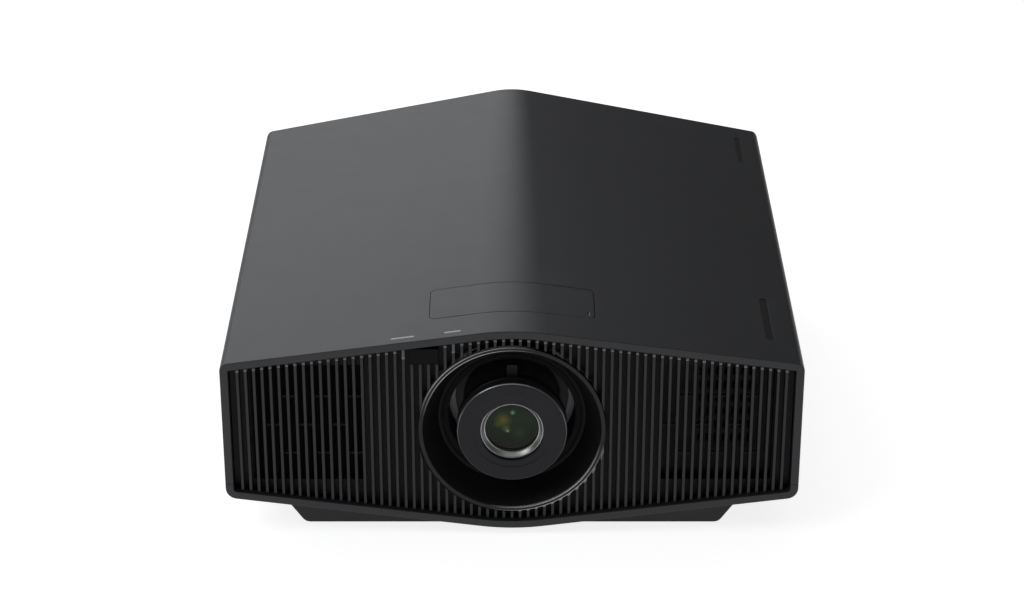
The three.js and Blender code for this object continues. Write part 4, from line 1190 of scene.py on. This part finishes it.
class PROJECTOR_OT_funnel(ProjectorPart, bpy.types.Operator):
    """Makes the deep round funnel that frames the lens"""

    bl_idname = "projector.funnel"
    bl_label = "Lens Funnel"

    def make(self):
        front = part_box("lens_funnel")[0].y
        rim, _, back = span_of("lens_funnel", front)
        depth = 24.5  # of the throat behind the rim
        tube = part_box("lens_barrel")[1].x / MM + 5
        throat = tube + 8
        edge = [
            (rim, 0.9), (rim - 0.25, 0.25), (rim - 0.9, 0),
            (rim - 2.6, 0), (rim - 3.2, 0.25), (rim - 3.6, 0.9),
        ]
        shelf = [
            (throat + 0.6, depth - 0.8), (throat, depth), (throat - 0.6, depth + 0.35),
            (throat - 2.9, depth + 0.6), (throat - 3.3, depth + 1.5), (throat - 3.8, depth + 0.8),
            (tube + 0.8, depth + 0.95), (tube + 0.2, depth + 1.15), (tube, depth + 1.8),
        ]
        outside = [
            (tube, back), (tube + 2.5, back), (tube + 2.5, depth + 4), (throat + 2.5, depth + 3),
            (rim - 1, 5), (rim, 4),
        ]
        bm = lathe(edge + shelf + outside, (0, LENS_Z), front)
        stand_in("lens_funnel", "surround", bm, angle=28)


WALL_OF_BARREL = 6.1  # from the barrel's flange in to the bore of the rings, in millimetres


class PROJECTOR_OT_lens(ProjectorPart, bpy.types.Operator):
    """Makes the lens: focus ring, zoom ring with its lever, retainer, glasses and barrel"""

    bl_idname = "projector.lens"
    bl_label = "Lens"

    def make(self):
        self.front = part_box("focus_ring")[0].y
        self.focus_ring()
        self.zoom_ring()
        self.retainer()
        self.glass()
        refined("lens_barrel", 0.4 * MM, kind="lens_tube")
        refined("rear_glass", 0.3 * MM, kind="optics")

    def ring(self, node, profile):
        stand_in(node, "turned", lathe(profile, (0, LENS_Z), self.front), angle=28)

    def focus_ring(self):
        """Broad flat face with polished edges, a shallow step and a lip round the glass."""
        radius, _, depth = span_of("focus_ring", self.front)
        lip, bore = 25.5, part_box("lens_barrel")[1].x / MM - WALL_OF_BARREL
        face = [
            (lip, 1.4), (25.65, 0.85), (26.1, 0.55), (30.6, 0.5), (31.2, 0.35), (31.7, 0.05),
            (32.4, 0), (radius - 2.0, 0), (radius - 1.3, 0.12), (radius - 0.75, 0.5),
            (radius - 0.25, 1.1), (radius, 1.9),
        ]
        side = []
        for y in (3.6, 5.0, 6.4):
            groove = [(radius, y), (radius - 0.35, y + 0.2), (radius - 0.35, y + 0.7)]
            side += [*groove, (radius, y + 0.9)]
        back = [(radius, depth - 0.4), (radius - 0.4, depth), (bore, depth), (bore, 3), (lip, 3)]
        self.ring("focus_ring", face + side + back)

    def zoom_ring(self):
        low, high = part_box("zoom_ring")
        _, start, end = span_of("zoom_ring", self.front)
        radius, bore = high.x / MM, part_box("lens_barrel")[1].x / MM - WALL_OF_BARREL
        profile = [
            (bore, start), (radius - 1.3, start), (radius - 0.7, start + 0.15),
            (radius - 0.15, start + 0.7), (radius, start + 1.3), (radius, end - 0.4),
            (radius - 0.4, end), (bore, end),
        ]
        bm = lathe(profile, (0, LENS_Z), self.front)
        half, near, far = 4.25 * MM, low.y + 1 * MM, high.y - 1 * MM
        base = LENS_Z + (radius - 1.5) * MM
        block(bm, (-half, near, base), (half, far, high.z), 0.9 * MM, 3)
        for drop in (2.2, 3.8, 5.4):
            z, side = high.z - drop * MM, half - 1.2 * MM
            block(bm, (-side, near - 0.3 * MM, z), (side, near + 0.4 * MM, z + 0.7 * MM), 0.2 * MM)
        stand_in("zoom_ring", "turned", bm, angle=28)

    def retainer(self):
        outer, start, end = span_of("glass_retainer", self.front)
        self.ring("glass_retainer", [
            (outer, start), (outer, end), (21.3, end), (21.3, end - 2.2), (21.5, end - 2.55),
            (21.9, end - 2.65), (22.2, end - 2.85), (outer - 0.8, start + 0.7),
            (outer - 0.55, start + 0.15), (outer - 0.25, start),
        ])

    def glass(self):
        """Front element: a dome on the outside, nearly flat behind."""
        radius, start, end = span_of("front_glass", self.front)
        edge = end - 2
        rise = edge - 2.3 - start
        dome = [(radius * i / 12, start + rise * (i / 12) ** 2) for i in range(13)]
        bm = lathe([*dome, (radius, edge), (0, end)], (0, LENS_Z), self.front, closed=False)
        stand_in("front_glass", "element", bm, angle=40)


# ---- Operators: inside -------------------------------------------------------------------------
class PROJECTOR_OT_lens_shift(ProjectorPart, bpy.types.Operator):
    """Makes the shift carriages, their mount, the dial tray and the two dials"""

    bl_idname = "projector.lens_shift"
    bl_label = "Lens Shift"

    def make(self):
        for node in ("horizontal_carriage", "vertical_carriage", "lens_mount_plate"):
            refined(node, 0.35 * MM)
        refined("dial_tray", 0.6 * MM, 3)
        refined("vertical_screw", 0.3 * MM)
        for node in ("vertical_shift_dial", "horizontal_shift_dial"):
            refined(node, 0.25 * MM, extra=self.arrow)

    def arrow(self, bm, node):
        """A raised dot near the rim that shows how far a dial is turned."""
        _, high, (x, y), _ = round_node(node, "xy")
        dot = [(0, -0.4), (1.2, -0.4), (1.2, -0.05), (0, -0.02)]
        turned(bm, dot, (x, y - 10 * MM), high.z, "Z", 20, closed=False)


class PROJECTOR_OT_light_engine(ProjectorPart, bpy.types.Operator):
    """Makes the light engine: housing, colour cube, imagers, phosphor wheel, laser and heat sink"""

    bl_idname = "projector.light_engine"
    bl_label = "Light Engine"

    def make(self):
        refined("engine_housing", 0.8 * MM, extra=self.housing_screws)
        refined("colour_cube", 0.5 * MM, kind="optics")
        for node in ("red_panel", "green_panel", "blue_panel"):
            refined(node, 0.4 * MM)
        refined("phosphor_wheel", 0.2 * MM)
        refined("wheel_motor", 0.5 * MM)
        refined("laser_module", 1.0 * MM, extra=self.laser_screws)
        refined("laser_heat_sink", 0.3 * MM, 1)

    def housing_screws(self, bm, node):
        low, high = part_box(node)
        for x in (low.x + 2 * MM, high.x - 2 * MM):
            for y in (low.y + 12 * MM, high.y - 12 * MM):
                screw_head(bm, (x, y), high.z, "Z", 1.7, sunk=True)

    def laser_screws(self, bm, node):
        low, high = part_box(node)
        for x in (low.x + 8 * MM, high.x - 8 * MM):
            for y in (low.y + 8 * MM, high.y - 8 * MM):
                screw_head(bm, (x, y), high.z, "Z", 2.4)


def screw_head(bm, centre, start, axis, radius, sunk=False):
    """A pan head with a socket, standing on start or sunk flush with it; radius in millimetres."""
    rise = radius * 0.55
    sink = rise if sunk else 0
    levels = [
        (0, -0.1 * rise), (radius, -0.1 * rise), (radius, 0.45 * rise), (radius * 0.8, rise * 0.9),
        (radius * 0.5, rise), (radius * 0.42, rise * 0.95), (radius * 0.42, rise * 0.25),
        (0, rise * 0.2),
    ]
    profile = [(r, level - sink) for r, level in levels]
    turned(bm, profile, centre, start, axis, 18, closed=False)


class PROJECTOR_OT_fans(ProjectorPart, bpy.types.Operator):
    """Makes the two axial fans behind the vent windows"""

    bl_idname = "projector.fans"
    bl_label = "Fans"

    def make(self):
        for label, side in SIDES:
            refined(f"{label}_fan_frame", 0.6 * MM, kind="fan", extra=self.corner_screws)
            self.rotor(label, side)

    def corner_screws(self, bm, node):
        low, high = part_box(node)
        inset = 5 * MM
        profile = [
            (0, 1.4), (3.0, 1.4), (3.0, 0.6), (2.2, 0.05), (0.9, 0), (0.8, 0.7), (0, 0.7),
        ]
        for x in (low.x + inset, high.x - inset):
            for z in (low.z + inset, high.z - inset):
                turned(bm, profile, (x, z), low.y, "Y", 18, closed=False)

    def rotor(self, label, side):
        """Domed hub with swept blades."""
        node = f"{label}_fan_rotor"
        low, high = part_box(node)
        x, _, z = middle_of(f"{label}_fan_frame")
        depth = (high.y - low.y) / MM
        hub, tip, blades = 16, 42, 7
        root, margin = (hub - 0.5) * MM, 1.5 * MM
        profile = [
            (0, 0), (hub - 3, 0.1), (hub - 1, 0.7), (hub, 2.2), (hub, depth - 0.3),
            (hub - 0.5, depth), (0, depth),
        ]
        bm = lathe(profile, (x, z), low.y, steps=48, closed=False)
        for blade in range(blades):
            grid = bmesh.ops.create_grid(bm, x_segments=8, y_segments=6, size=0.5)["verts"]
            for vert in grid:
                across, chord = vert.co.x + 0.5, vert.co.y + 0.5
                radius = root + (tip * MM - root) * across
                sweep = 0.62 * chord + math.sin(math.pi * chord) * 0.05 + 0.3 * across * across
                angle = 2 * math.pi * blade / blades + side * sweep
                y = low.y + margin + (high.y - low.y - 2 * margin) * chord
                vert.co = (x + radius * math.cos(angle), y, z + radius * math.sin(angle))
            faces = list({face for vert in grid for face in vert.link_faces})
            bmesh.ops.recalc_face_normals(bm, faces=faces)
            bmesh.ops.solidify(bm, geom=faces, thickness=1.3 * MM)
        bmesh.ops.recalc_face_normals(bm, faces=bm.faces)
        stand_in(node, "blades", bm, "fan", 40)


class PROJECTOR_OT_boards(ProjectorPart, bpy.types.Operator):
    """Makes the circuit boards and what is soldered to them"""

    bl_idname = "projector.boards"
    bl_label = "Boards"

    def make(self):
        for node in ("power_board", "main_board", "terminal_board"):
            refined(node, 0.3 * MM, 1)


# ---- Operators: rear and underside -------------------------------------------------------------
class PROJECTOR_OT_rear_panel(ProjectorPart, bpy.types.Operator):
    """Makes the rear panel with its vents, dust mesh and screws"""

    bl_idname = "projector.rear_panel"
    bl_label = "Rear Panel"

    def make(self):
        refined("rear_panel", 0.35 * MM, 2, extra=self.screws)
        self.dust_mesh()

    def screws(self, bm, node):
        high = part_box(node)[1]
        for x, z in ((-208, 60), (208, 60), (-208, 138), (208, 138), (-92, 100), (92, 100)):
            screw_head(bm, (x * MM, z * MM), high.y, "Y", 2.4)

    def dust_mesh(self):
        """Crossed wires in a thin frame, just behind the rear slots."""
        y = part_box("rear_panel")[0].y - 1.2 * MM
        columns, rows, wire, rail = 33, 26, 0.3 * MM, 1 * MM
        z0, z1 = 70 * MM, 148 * MM
        bm = bmesh.new()
        for _, side in SIDES:
            x0, x1 = sorted((side * 97 * MM, side * 195 * MM))
            for i in range(columns):
                x = x0 + (x1 - x0) * (i + 0.5) / columns
                block(bm, (x - wire, y - wire, z0), (x + wire, y + wire, z1), 0)
            for i in range(rows):
                z = z0 + (z1 - z0) * (i + 0.5) / rows
                block(bm, (x0, y - 0.2 * MM, z - wire), (x1, y + 0.4 * MM, z + wire), 0)
            near, far = y - 0.8 * MM, y + 0.8 * MM
            for z in (z0, z1):
                block(bm, (x0, near, z - rail), (x1, far, z + rail), 0.2 * MM)
            for x in (x0, x1):
                block(bm, (x - rail, near, z0), (x + rail, far, z1), 0.2 * MM)
        piece("rear_dust_mesh", bm, "body", "steel")


class PROJECTOR_OT_terminals(ProjectorPart, bpy.types.Operator):
    """Makes the terminal recess, its sockets with contacts, and the mains inlet"""

    bl_idname = "projector.terminals"
    bl_label = "Terminals"

    def make(self):
        refined("terminal_panel", 0.4 * MM)
        for node in ("hdmi_port_1", "hdmi_port_2", "usb_port"):
            refined(node, 0.2 * MM)
            self.contacts(node, 9 if "hdmi" in node else 4)
        refined("lan_port", 0.3 * MM)
        self.lan_contacts()
        refined("serial_port", 0.3 * MM, extra=self.jack_posts)
        self.serial_pins()
        for node in ("trigger_jack", "ir_jack"):
            refined(node, 0.3 * MM, extra=self.jack_nut)
        refined("ac_inlet", 0.5 * MM, extra=self.inlet_screws)

    def contacts(self, node, count):
        """Gold strips along the tongue of a signal socket."""
        low, high, (x, z), _ = round_node(node)
        hdmi = "hdmi" in node
        span = (high.x - low.x) * (0.62 if hdmi else 0.5)
        near, far = high.y - 9 * MM, high.y - 2.2 * MM
        top = z + (0.72 if hdmi else 2.15) * MM
        bm = bmesh.new()
        for i in range(count):
            at = x + span * ((i + 0.5) / count - 0.5)
            half = span / count * 0.28
            end = (at + half, far, top + 0.08 * MM)
            block(bm, (at - half, near, top - 0.3 * MM), end, 0.03 * MM)
        self.gilded(f"{node}_contacts", bm)

    def gilded(self, name, bm):
        piece(name, bm, "body", "plated_sockets", "gold")

    def lan_contacts(self):
        """Eight springs that slope into the network socket."""
        _, high, (x, _), _ = round_node("lan_port")
        near, far, top = high.y - 9 * MM, high.y - 2.5 * MM, high.z - 3.2 * MM
        bm = bmesh.new()
        tilt = Matrix.Rotation(math.radians(-18), 4, "X")
        for i in range(8):
            at, half = x + (i - 3.5) * 1.02 * MM, 0.2 * MM
            low = (at - half, near, top - 0.4 * MM)
            block(bm, low, (at + half, far, top), 0.04 * MM, turn=tilt)
        self.gilded("lan_port_contacts", bm)

    def jack_posts(self, bm, node):
        """Hexagonal screw posts beside the serial socket."""
        low, high, (_, z), _ = round_node(node)
        profile = [(0, -1.2), (2.6, -1.2), (2.6, 2.6), (1.3, 2.6), (1.3, -0.4), (0, -0.4)]
        for x in (low.x - 3.6 * MM, high.x + 3.6 * MM):
            turned(bm, profile, (x, z), high.y, "Y", 6, closed=False)

    def serial_pins(self):
        """Five pins over four."""
        _, high, (x, z), _ = round_node("serial_port")
        profile = [(0, -5), (0.5, -5), (0.5, -1.5), (0.25, -1.1), (0, -1.1)]
        bm = bmesh.new()
        for row, count in ((1, 5), (-1, 4)):
            for i in range(count):
                at = (x + (i - (count - 1) / 2) * 2.77 * MM, z + row * 1.42 * MM)
                turned(bm, profile, at, high.y, "Y", 12, closed=False)
        self.gilded("serial_port_pins", bm)

    def jack_nut(self, bm, node):
        """Collar round a jack."""
        _, high, centre, radius = round_node(node)
        profile = [
            (radius - 0.3, -1.4), (radius + 1, -1.4), (radius + 1, -0.1), (radius + 0.7, 0.2),
            (radius - 0.3, 0.2),
        ]
        turned(bm, profile, centre, high.y, "Y", 24)

    def inlet_screws(self, bm, node):
        low, high, (_, z), _ = round_node(node)
        for x in (low.x + 4.6 * MM, high.x - 4.6 * MM):
            screw_head(bm, (x, z), high.y, "Y", 2.6)


class PROJECTOR_OT_controls(ProjectorPart, bpy.types.Operator):
    """Makes the rear buttons and the navigation joystick"""

    bl_idname = "projector.controls"
    bl_label = "Controls"

    def make(self):
        for node in ("power_button", "input_button", "menu_button"):
            self.button(node)
        refined("joystick_gimbal", 0.3 * MM)
        self.stick()

    def button(self, node):
        """Round cap with a softly dished face."""
        low, high, centre, radius = round_node(node)
        back = (low.y - high.y) / MM
        profile = [
            (0, back), (radius, back), (radius, -0.8), (radius - 0.2, -0.25), (radius - 0.7, 0),
            (radius - 1.2, -0.05), (radius * 0.4, -0.3), (0, -0.35),
        ]
        bm = lathe(profile, centre, high.y, steps=48, closed=False)
        stand_in(node, "cap", bm)

    def stick(self):
        """Thumb cap on a stem, with four raised dots."""
        low, high, centre, radius = round_node("joystick_knob")
        back, collar = (low.y - high.y) / MM, (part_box("rear_panel")[1].y - high.y) / MM
        stem = [
            (0, back), (2.2, back), (2.2, collar + 1.4), (radius - 0.6, collar + 1.9),
            (radius - 0.1, collar + 2.3), (radius, collar + 3),
        ]
        cap = [
            (radius, -1.1), (radius - 0.4, -0.5), (radius - 1.5, 0), (radius - 2.1, -0.1),
            (radius * 0.3, -0.75), (0, -0.8),
        ]
        dot = [(0, -0.7), (0.45, -0.7), (0.45, -0.15), (0, -0.05)]
        bm = lathe(stem + cap, centre, high.y, steps=48, closed=False)
        reach = radius * 0.66 * MM
        for i in range(4):
            angle = math.pi / 2 * i
            at = (centre[0] + math.cos(angle) * reach, centre[1] + math.sin(angle) * reach)
            turned(bm, dot, at, high.y, "Y", 12, closed=False)
        stand_in("joystick_knob", "cap", bm)


class PROJECTOR_OT_base(ProjectorPart, bpy.types.Operator):
    """Makes the base pan, the adjustable front feet and the fixed rear feet"""

    bl_idname = "projector.base"
    bl_label = "Base and Feet"

    def make(self):
        refined("base_pan", 0.7 * MM, 3, extra=self.base_screws)
        for label, _ in SIDES:
            refined(f"{label}_foot_screw", 0.25 * MM, extra=self.knurl)
            for node in (f"{label}_foot_pad", f"{label}_rear_foot"):
                self.pad(node)

    def base_screws(self, bm, node):
        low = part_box(node)[0]
        profile = [(0, 0.9), (3.4, 0.9), (3.4, 0.0), (2.6, -0.75), (1.2, -0.9), (1.1, 0.2), (0, 0.2)]
        for x in (-150, -50, 50, 150):
            for y in (-205, 0, 205):
                turned(bm, profile, (x * MM, y * MM), low.z, "Z", 20, closed=False)

    def knurl(self, bm, node):
        """Finger ridges round the rim of an adjusting disc."""
        low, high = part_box(node)
        centre, ridges = (low + high) / 2, 36
        radius, z0, z1 = (high.x - low.x) / 2, low.z + 0.6 * MM, low.z + 3.8 * MM
        wide, long = 0.25 * MM, 0.45 * MM
        for i in range(ridges):
            turn = Matrix.Rotation(2 * math.pi * i / ridges, 4, "Z")
            x, y, _ = Vector((centre.x, centre.y, 0)) + turn @ Vector((radius - wide, 0, 0))
            foot, top = (x - wide, y - long, z0), (x + wide, y + long, z1)
            block(bm, foot, top, 0.12 * MM, turn=turn)

    def pad(self, node):
        """Rubber disc with a rounded sole and two grip grooves."""
        low, high, centre, radius = round_node(node, "xy")
        height = (high.z - low.z) / MM
        grooves = []
        for share in (0.35, 0.68):
            shares = ((share, 0), (share + 0.02, 0.4), (share + 0.07, 0.4), (share + 0.09, 0))
            grooves += [(radius * part, rise) for part, rise in shares]
        rim = [
            (radius - 1.1, 0), (radius - 0.4, 0.25), (radius, 1), (radius, height - 0.3),
            (radius - 0.3, height), (0, height),
        ]
        bm = lathe([(0, 0), *grooves, *rim], centre, low.z, "Z", steps=64, closed=False)
        stand_in(node, "sole", bm)


# ---- Stage -------------------------------------------------------------------------------------
class PROJECTOR_OT_stage(ProjectorPart, bpy.types.Operator):
    """Sets the pale floor, the studio lights and the camera"""

    bl_idname = "projector.stage"
    bl_label = "Stage"

    def make(self):
        self.floor()
        self.world()
        self.camera()
        self.lights()
        bpy.context.scene.view_settings.view_transform = "Standard"

    def floor(self):
        bm = bmesh.new()
        bmesh.ops.create_grid(bm, x_segments=1, y_segments=1, size=8)
        floor = placed("floor", bm)
        grey, white = (0.5, 0.5, 0.5, 1), (1, 1, 1, 1)
        low, high = (0.89, 0.89, 0.89, 1), (0.92, 0.92, 0.92, 1)
        finish = Finish("floor_paper", (0.9, 0.9, 0.9), roughness=0.9, emission_strength=0.82)
        seen = Signal(finish, finish.add("ShaderNodeLightPath").outputs["Is Camera Ray"])
        finish.feed("Emission Color", finish.blend(seen, grey, white))
        finish.feed("Base Color", finish.blend(finish.noise(3, 2), low, high))
        floor.data.materials.append(finish.material)

    def world(self):
        """White behind the object, and a dim even fill everywhere else."""
        world = bpy.data.worlds.new("studio")
        bpy.context.scene.world = world
        world.use_nodes = True
        tree = world.node_tree
        path = tree.nodes.new("ShaderNodeLightPath")
        level = tree.nodes.new("ShaderNodeMapRange")
        level.inputs["To Min"].default_value, level.inputs["To Max"].default_value = 0.1, 1.0
        tree.links.new(path.outputs["Is Camera Ray"], level.inputs["Value"])
        tree.nodes["Background"].inputs["Color"].default_value = (1, 1, 1, 1)
        tree.links.new(level.outputs[0], tree.nodes["Background"].inputs["Strength"])

    def camera(self):
        data = bpy.data.cameras.new("camera")
        data.lens, data.sensor_width = 94.17, 36
        camera = linked("camera", data)
        camera.location = (0, -2.0868, 1.1456)
        camera.rotation_euler = (math.radians(63.13), 0, 0)
        bpy.context.scene.camera = camera

    def lights(self):
        self.softbox("roof_sheen", (-1.45, 2.9, 1.9), (0, 0.0, 0.15), 3.6, 2.2, 39)
        self.softbox("key", (-2.2, -1.6, 2.6), (0, -0.1, 0.1), 1.6, 1.6, 14)
        self.softbox("front_fill", (1.2, -3.4, 0.9), (0, -0.2, 0.08), 2.4, 1.2, 1.5)
        self.softbox("overhead", (0.0, -0.4, 3.6), (0, 0, 0), 3.5, 3.5, 11)

    def softbox(self, name, place, aim, width, height, power):
        data = bpy.data.lights.new(name, "AREA")
        data.shape, data.size, data.size_y, data.energy = "RECTANGLE", width, height, power
        data.color = (0.95, 0.965, 1.0)
        light = linked(name, data)
        light.location = place
        light.rotation_euler = (Vector(aim) - Vector(place)).to_track_quat("-Z", "Y").to_euler()


OPERATORS = (
    PROJECTOR_OT_top_cover, PROJECTOR_OT_bottom_case, PROJECTOR_OT_shift_lid, PROJECTOR_OT_grille,
    PROJECTOR_OT_window_and_guides, PROJECTOR_OT_funnel, PROJECTOR_OT_lens, PROJECTOR_OT_lens_shift,
    PROJECTOR_OT_light_engine, PROJECTOR_OT_fans, PROJECTOR_OT_boards, PROJECTOR_OT_rear_panel,
    PROJECTOR_OT_terminals, PROJECTOR_OT_controls, PROJECTOR_OT_base, PROJECTOR_OT_stage,
)


class PROJECTOR_PT_sidebar(bpy.types.Panel):
    """Lists the pieces, and the sizes and colours that they use."""

    bl_idname = "PROJECTOR_PT_sidebar"
    bl_label = "Projector"
    bl_space_type = "VIEW_3D"
    bl_region_type = "UI"
    bl_category = "Projector"

    def draw(self, context):
        column = self.layout.column(align=True)
        for operator in OPERATORS:
            column.operator(operator.bl_idname)
        for group in (context.scene.projector_sizes, context.scene.projector_colours):
            column = self.layout.column()
            for name in group.bl_rna.properties.keys():
                if name not in {"rna_type", "name"}:
                    column.prop(group, name)


CLASSES = (ProjectorSizes, ProjectorColours, *OPERATORS, PROJECTOR_PT_sidebar)


def register():
    for cls in CLASSES:
        bpy.utils.register_class(cls)
    bpy.types.Scene.projector_sizes = PointerProperty(type=ProjectorSizes)
    bpy.types.Scene.projector_colours = PointerProperty(type=ProjectorColours)


def unregister():
    del bpy.types.Scene.projector_colours
    del bpy.types.Scene.projector_sizes
    for cls in reversed(CLASSES):
        bpy.utils.unregister_class(cls)


def main():
    register()
    for operator in OPERATORS:
        category, name = operator.bl_idname.split(".")
        getattr(getattr(bpy.ops, category), name)()


if __name__ == "__main__":
    main()
